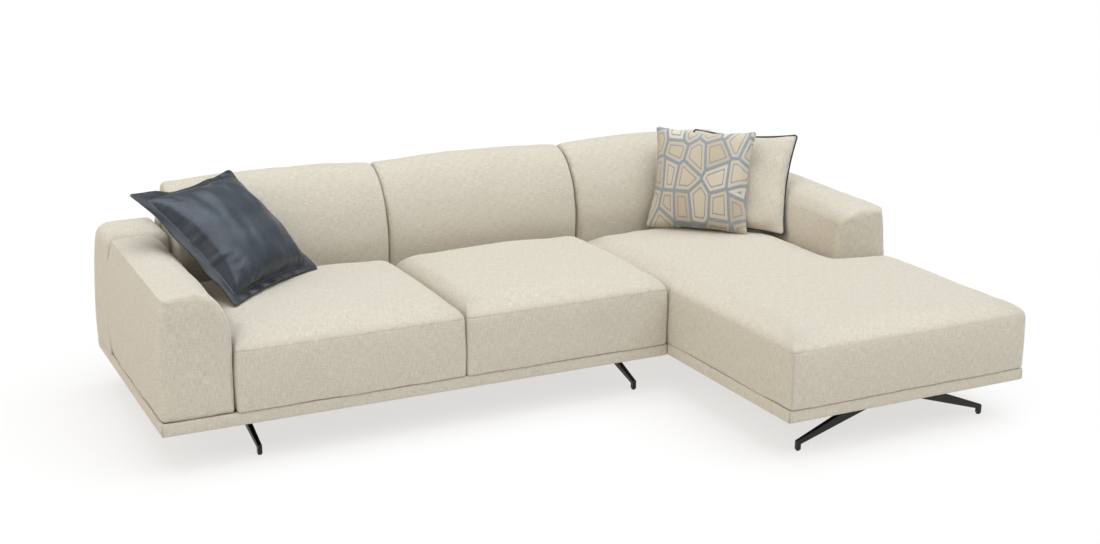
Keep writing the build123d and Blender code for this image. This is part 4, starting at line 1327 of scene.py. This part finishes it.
leather_centre = (-1.0308, 0.4567, 0.6481)
leather_axes = pillow_axes(39.0, 47.0)
leather_size = 0.453
leather_half = leather_size / 2
flange_wave_length = 0.15
held_wave, loose_wave, flange_curl = 0.006, 0.007, 0.016
ear_out, ear_up, tip_blunt = 0.026, 0.014, 0.006
crease_height = 0.0019


def flange_wave(points, share):
    """How far the flange stands off its plane: it waves, and curls back at the left and the top."""
    swing = ripple(points * (1, 1, 0), flange_wave_length, 113)
    free = np.clip((points[:, 1] - points[:, 0]) / 0.10 + 0.5, 0, 1)
    held = np.abs(swing) * held_wave
    middle = 1 - np.clip(np.abs(points[:, :2]).min(axis=1) / leather_half, 0, 1) ** 2
    loose = swing * loose_wave - flange_curl * middle
    return share * (free * loose + (1 - free) * held)


def eared(points):
    """The pillow's points with its upper left corner drawn out, and its upper right one blunted."""
    left = np.clip(-points[:, 0] / leather_half, 0, 1.2) ** 1.5
    upper = np.clip(points[:, 1] / leather_half + 0.55, 0, 1.7) / 1.55
    tip = np.prod(np.clip(points[:, :2] / leather_half, 0, 1.15) ** 4, axis=1)
    drawn = points.copy()
    drawn[:, 0] -= ear_out * left * upper**1.5
    drawn[:, 1] += ear_up * left * np.clip(points[:, 1] / leather_half, 0, 1.2) ** 2
    drawn[:, :2] -= tip_blunt * tip[:, None]
    return drawn


leather, leather_rim, leather_edge = sewn_pillow(
    "leather_pillow_skin",
    creased_leather,
    leather_size,
    front=0.092,
    back=0.026,
    pull=0.012,
    corner=0.022,
    steps=30,
    swelling=(6.0, 0.012, 26),
    flange=0.033,
    flange_pull=0.020,
)
points = mesh_points(leather)
share = stored(leather.data.attributes["flange"].data, "value", 1)[:, 0]
face_up = np.clip(points[:, 2] / 0.02, 0, 1)
to_seam = leather_half - np.abs(points[:, :2]).max(axis=1)
along_seam = np.where(np.abs(points[:, 0]) > np.abs(points[:, 1]), points[:, 1], points[:, 0] + 0.37)
gather = ripple(np.column_stack([along_seam, to_seam * 0.3, points[:, 2] * 0]), 0.026, 101, 12)
fitful = np.clip(0.55 + 0.6 * ripple(points, 0.16, 103), 0, 1.3)
near_seam = np.exp(-np.clip(to_seam, 0, 1) / 0.055) * np.clip(to_seam / 0.006, 0, 1) * fitful
broad = ripple(points, 0.15, 107) * 0.0035 + ripple(points * (1.0, 0.35, 1.0), 0.07, 109) * 0.0012
lift = (gather * crease_height * near_seam + broad * np.clip(to_seam / 0.03, 0, 1)) * face_up
points += mesh_normals(leather) * (lift * (share < 0.01))[:, None]
points[:, 2] += flange_wave(points, share)
place_pillow(leather, eared(points), leather_centre, leather_axes)
stuffed(leather, "leather_pillow")

thread_black, tree, shader = new_finish("thread_black", Roughness=0.55)
twist = grain(tree, object_place(tree), 1500.0, 1.0)
two_tone(tree, shader, twist, (0.012, 0.014, 0.018, 1), (0.05, 0.055, 0.065, 1))
stitch_share = 0.22
stitch_height = 0.0030
stitch_pitch = 0.0052
stitch_size = (0.0036, 0.0011, 0.0011)
stitch_path = leather_rim + (leather_edge - leather_rim) * stitch_share
stitch_points = np.column_stack([stitch_path, np.full(len(stitch_path), stitch_height)])
stitch_points[:, 2] += flange_wave(stitch_points, stitch_share)
stitch_points = np.asarray(leather_centre) + eared(stitch_points) @ leather_axes
stitches = bars_along("flange_stitches", stitch_points, stitch_pitch, stitch_size, thread_black)
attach(stitches, "leather_pillow")

# Piped pillow. A plain cream woven pillow, with a dark cotton cord sewn into its seam all round.
# It stands in the right corner, leaning back along the arm.

# The copy keeps the linen's painted shade along the seams and between the yarns.
cream_weave = linen.copy()
cream_weave.name = "cream_weave"
piped_centre = (1.0993, 0.4318, 0.6360)
piped_axes = pillow_axes(-44.0, 33.0)
piped_size = 0.434
piped_pull = 0.020
piped_half = piped_size / 2
clear_fullness = 0.020


def puckered(pillow, half, seeds):
    """The points of a pillow with slow unevenness, and small puckers near its seam."""
    points = mesh_points(pillow)
    edge_near = np.clip(1 - (half - np.abs(points[:, :2]).max(axis=1)) / 0.07, 0, 1)
    slow = ripple(points, 0.13, seeds[0]) * 0.0020 + ripple(points, 0.05, seeds[1]) * 0.0012 * edge_near
    return points + mesh_normals(pillow) * (slow * (1 - edge_near**6))[:, None]


piped = sewn_pillow(
    "piped_pillow_skin",
    cream_weave,
    piped_size,
    front=0.037,
    back=0.043,
    pull=piped_pull,
    corner=0.014,
    steps=28,
    swelling=(5.0, 0.004, 24),
)[0]
points = puckered(piped, piped_half, (127, 131))
clear_side = np.clip((points[:, 0] - 0.01) / 0.12, 0, 1) * np.clip(points[:, 2] / 0.02, 0, 1)
points[:, 2] += pillow_fullness(points[:, :2], piped_half, clear_fullness) * clear_side
place_pillow(piped, points, piped_centre, piped_axes)
stuffed(piped, "piped_pillow")

cotton_cord, tree, shader = new_finish("cotton_cord", Roughness=0.8, Sheen_Weight=0.2)
lay = {"Vector": weave_place(tree), "Scale": 120.0, "Distortion": 0.5}
twist = add_node(tree, "ShaderNodeTexWave", lay, bands_direction="DIAGONAL").outputs["Fac"]
two_tone(tree, shader, twist, (0.010, 0.011, 0.014, 1), (0.032, 0.034, 0.040, 1), 0.0005)

cord_radius = 0.0035
cord_offset = 0.0075
round_steps = 12
cord_path = pillow_rim(piped_size + cord_offset, piped_pull, 0.016, 60)
cord_rings = []
for step in range(round_steps):
    angle = 2 * math.pi * step / round_steps
    height = np.full(len(cord_path), cord_radius * math.sin(angle))
    cord_rings.append(np.column_stack([drawn_in(cord_path, -cord_radius * math.cos(angle)), height]))
cord_points = np.stack(cord_rings, axis=1).reshape(-1, 3)
travel = lengths_along(cord_path, True)
cord_faces, cord_map = [], []
for k in range(len(cord_path)):
    near, far = k * round_steps, ((k + 1) % len(cord_path)) * round_steps
    for step in range(round_steps):
        after = (step + 1) % round_steps
        cord_faces.append((near + step, far + step, far + after, near + after))
        low, high = (2 * math.pi * cord_radius * edge / round_steps for edge in (step, step + 1))
        cord_map += [(travel[k], low), (travel[k + 1], low), (travel[k + 1], high), (travel[k], high)]
piping = new_piece("dark_piping", cord_points, cord_faces, cotton_cord, cord_map)
place_pillow(piping, mesh_points(piping), piped_centre, piped_axes)
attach(piping, "piped_pillow")
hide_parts("pillow_piping")

# Patterned pillow. A woven jacquard of beige patches between blue-grey lines, sewn plain at the edges.
# The patches are loose polygons in a few tones, each with a thin line inside its edge.
# It leans on the piped pillow, with its foot on the chaise.

jacquard, tree, shader = new_finish(
    "jacquard", Roughness=0.85, Sheen_Weight=0.15, Sheen_Roughness=0.5, Specular_IOR_Level=0.3
)
face = weave_place(tree)


def stripe(distance, middle, width):
    """A line along all places at this distance from the edges of the patches."""
    off = maths(tree, "ABSOLUTE", maths(tree, "SUBTRACT", distance, middle))
    return ramp(tree, off, width, width * 0.75)


turned = add_node(
    tree, "ShaderNodeMapping", {"Vector": face, "Rotation": (0.0, 0.0, 0.6), "Scale": (12.5, 9.0, 1.0)}
).outputs[0]
patches = {"Vector": turned, "Scale": 1.0, "Randomness": 1.0}
to_edge = add_node(
    tree, "ShaderNodeTexVoronoi", patches, voronoi_dimensions="2D", feature="DISTANCE_TO_EDGE"
).outputs["Distance"]
patch = add_node(tree, "ShaderNodeTexVoronoi", patches, voronoi_dimensions="2D").outputs["Color"]
patch_tone = add_node(tree, "ShaderNodeSeparateColor", {0: patch}).outputs[0]
fray = maths(tree, "MULTIPLY", maths(tree, "SUBTRACT", grain(tree, face, 520.0, 2.0), 0.5), 0.06)
frayed = maths(tree, "ADD", to_edge, fray)
line_share = maths(tree, "MAXIMUM", stripe(frayed, 0.0, 0.075), stripe(frayed, 0.205, 0.026))
thread = ramp(tree, grain(tree, stretched(tree, face, (520.0, 330.0, 1.0)), 1.0, 2.0), 0.36, 0.64)
pale = blended(tree, patch_tone, (0.47, 0.385, 0.275, 1), (0.60, 0.535, 0.42, 1))
line_tone = blended(tree, thread, (0.105, 0.150, 0.205, 1), (0.40, 0.43, 0.44, 1))
two_tone(tree, shader, line_share, pale, line_tone)
raise_surface(tree, shader, weighted(tree, line_share, 0.6, thread, 0.6), 0.0009)

patterned_centre = (0.9387, 0.4640, 0.6532)
patterned_axes = pillow_axes(-44.0, 20.0)
patterned_size = 0.424
patterned_half = patterned_size / 2
foot_sag = 0.017
patterned = sewn_pillow(
    "patterned_pillow_skin",
    jacquard,
    patterned_size,
    front=0.066,
    back=0.030,
    pull=0.022,
    corner=0.012,
    steps=28,
    swelling=(5.0, 0.008, 24),
)[0]
points = puckered(patterned, patterned_half, (137, 139))
low_side = np.clip(-points[:, 1] / patterned_half, 0, 1) ** 4
points[:, 1] -= foot_sag * np.clip(1 - (points[:, 0] / patterned_half) ** 2, 0, 1) * low_side
place_pillow(patterned, points, patterned_centre, patterned_axes)
stuffed(patterned, "patterned_pillow")

# Stage. A plain pale floor, lit from below as on a light table, under plain soft light from above.
# A warm light and a weaker panel fill from the left. The camera stands where the photograph was taken from.

floor_paint, tree, shader = new_finish(
    "floor_paint",
    Base_Color=(0.215, 0.215, 0.215, 1),
    Roughness=0.9,
    Specular_IOR_Level=0.0,
    Emission_Color=(1.0, 0.985, 0.965, 1),
    Emission_Strength=0.70,
)
floor_half = 400.0
floor_corners = [(x, y, 0) for x, y in rectangle(-floor_half, floor_half, -floor_half, floor_half)]
floor = new_piece("floor", floor_corners, [(0, 1, 2, 3)], floor_paint)

world = bpy.data.worlds.new("studio")
bpy.context.scene.world = world
world.use_nodes = True
world.node_tree.nodes["Background"].inputs["Color"].default_value = (1.0, 0.96, 0.89, 1)
world.node_tree.nodes["Background"].inputs["Strength"].default_value = 0.46


def add_lamp(name, kind, energy, tint, way, place=(0.0, 0.0, 0.0), **settings):
    """A lamp that shines this way."""
    lamp = bpy.data.lights.new(name, kind)
    lamp.energy = energy
    lamp.color = tint
    for key, value in settings.items():
        setattr(lamp, key, value)
    holder = bpy.data.objects.new(name, lamp)
    holder.location = place
    holder.rotation_euler = Vector(way).to_track_quat("-Z", "Y").to_euler()
    bpy.context.scene.collection.objects.link(holder)


panel_shape = {"shape": "RECTANGLE", "size": 3.0, "size_y": 2.0}
add_lamp("left_panel", "AREA", 16.0, (1.0, 0.98, 0.94), (4.1, -0.3, -1.8), (-5.5, 0.6, 2.2), **panel_shape)
add_lamp("sky_light", "SUN", 3.55, (0.82, 0.90, 1.0), (-0.26, 0.24, -1.0), angle=math.radians(80.0))
add_lamp("front_light", "SUN", 0.86, (1.0, 0.93, 0.83), (1.0, 0.2, -0.6), angle=math.radians(60.0))

lens_width = 36.0
photo_focal_length = 1580.0
photo_width = 1100.0
camera_data = bpy.data.cameras.new("camera")
camera_data.sensor_width = lens_width
camera_data.lens = lens_width * photo_focal_length / photo_width
camera_data.clip_end = 2000.0
camera = bpy.data.objects.new("camera", camera_data)
camera.location = (-2.436, -4.9735, 2.068)
camera.rotation_euler = (math.radians(74.12), 0.0, math.radians(-26.24))
bpy.context.scene.collection.objects.link(camera)
bpy.context.scene.camera = camera
bpy.context.scene.view_settings.view_transform = "Standard"
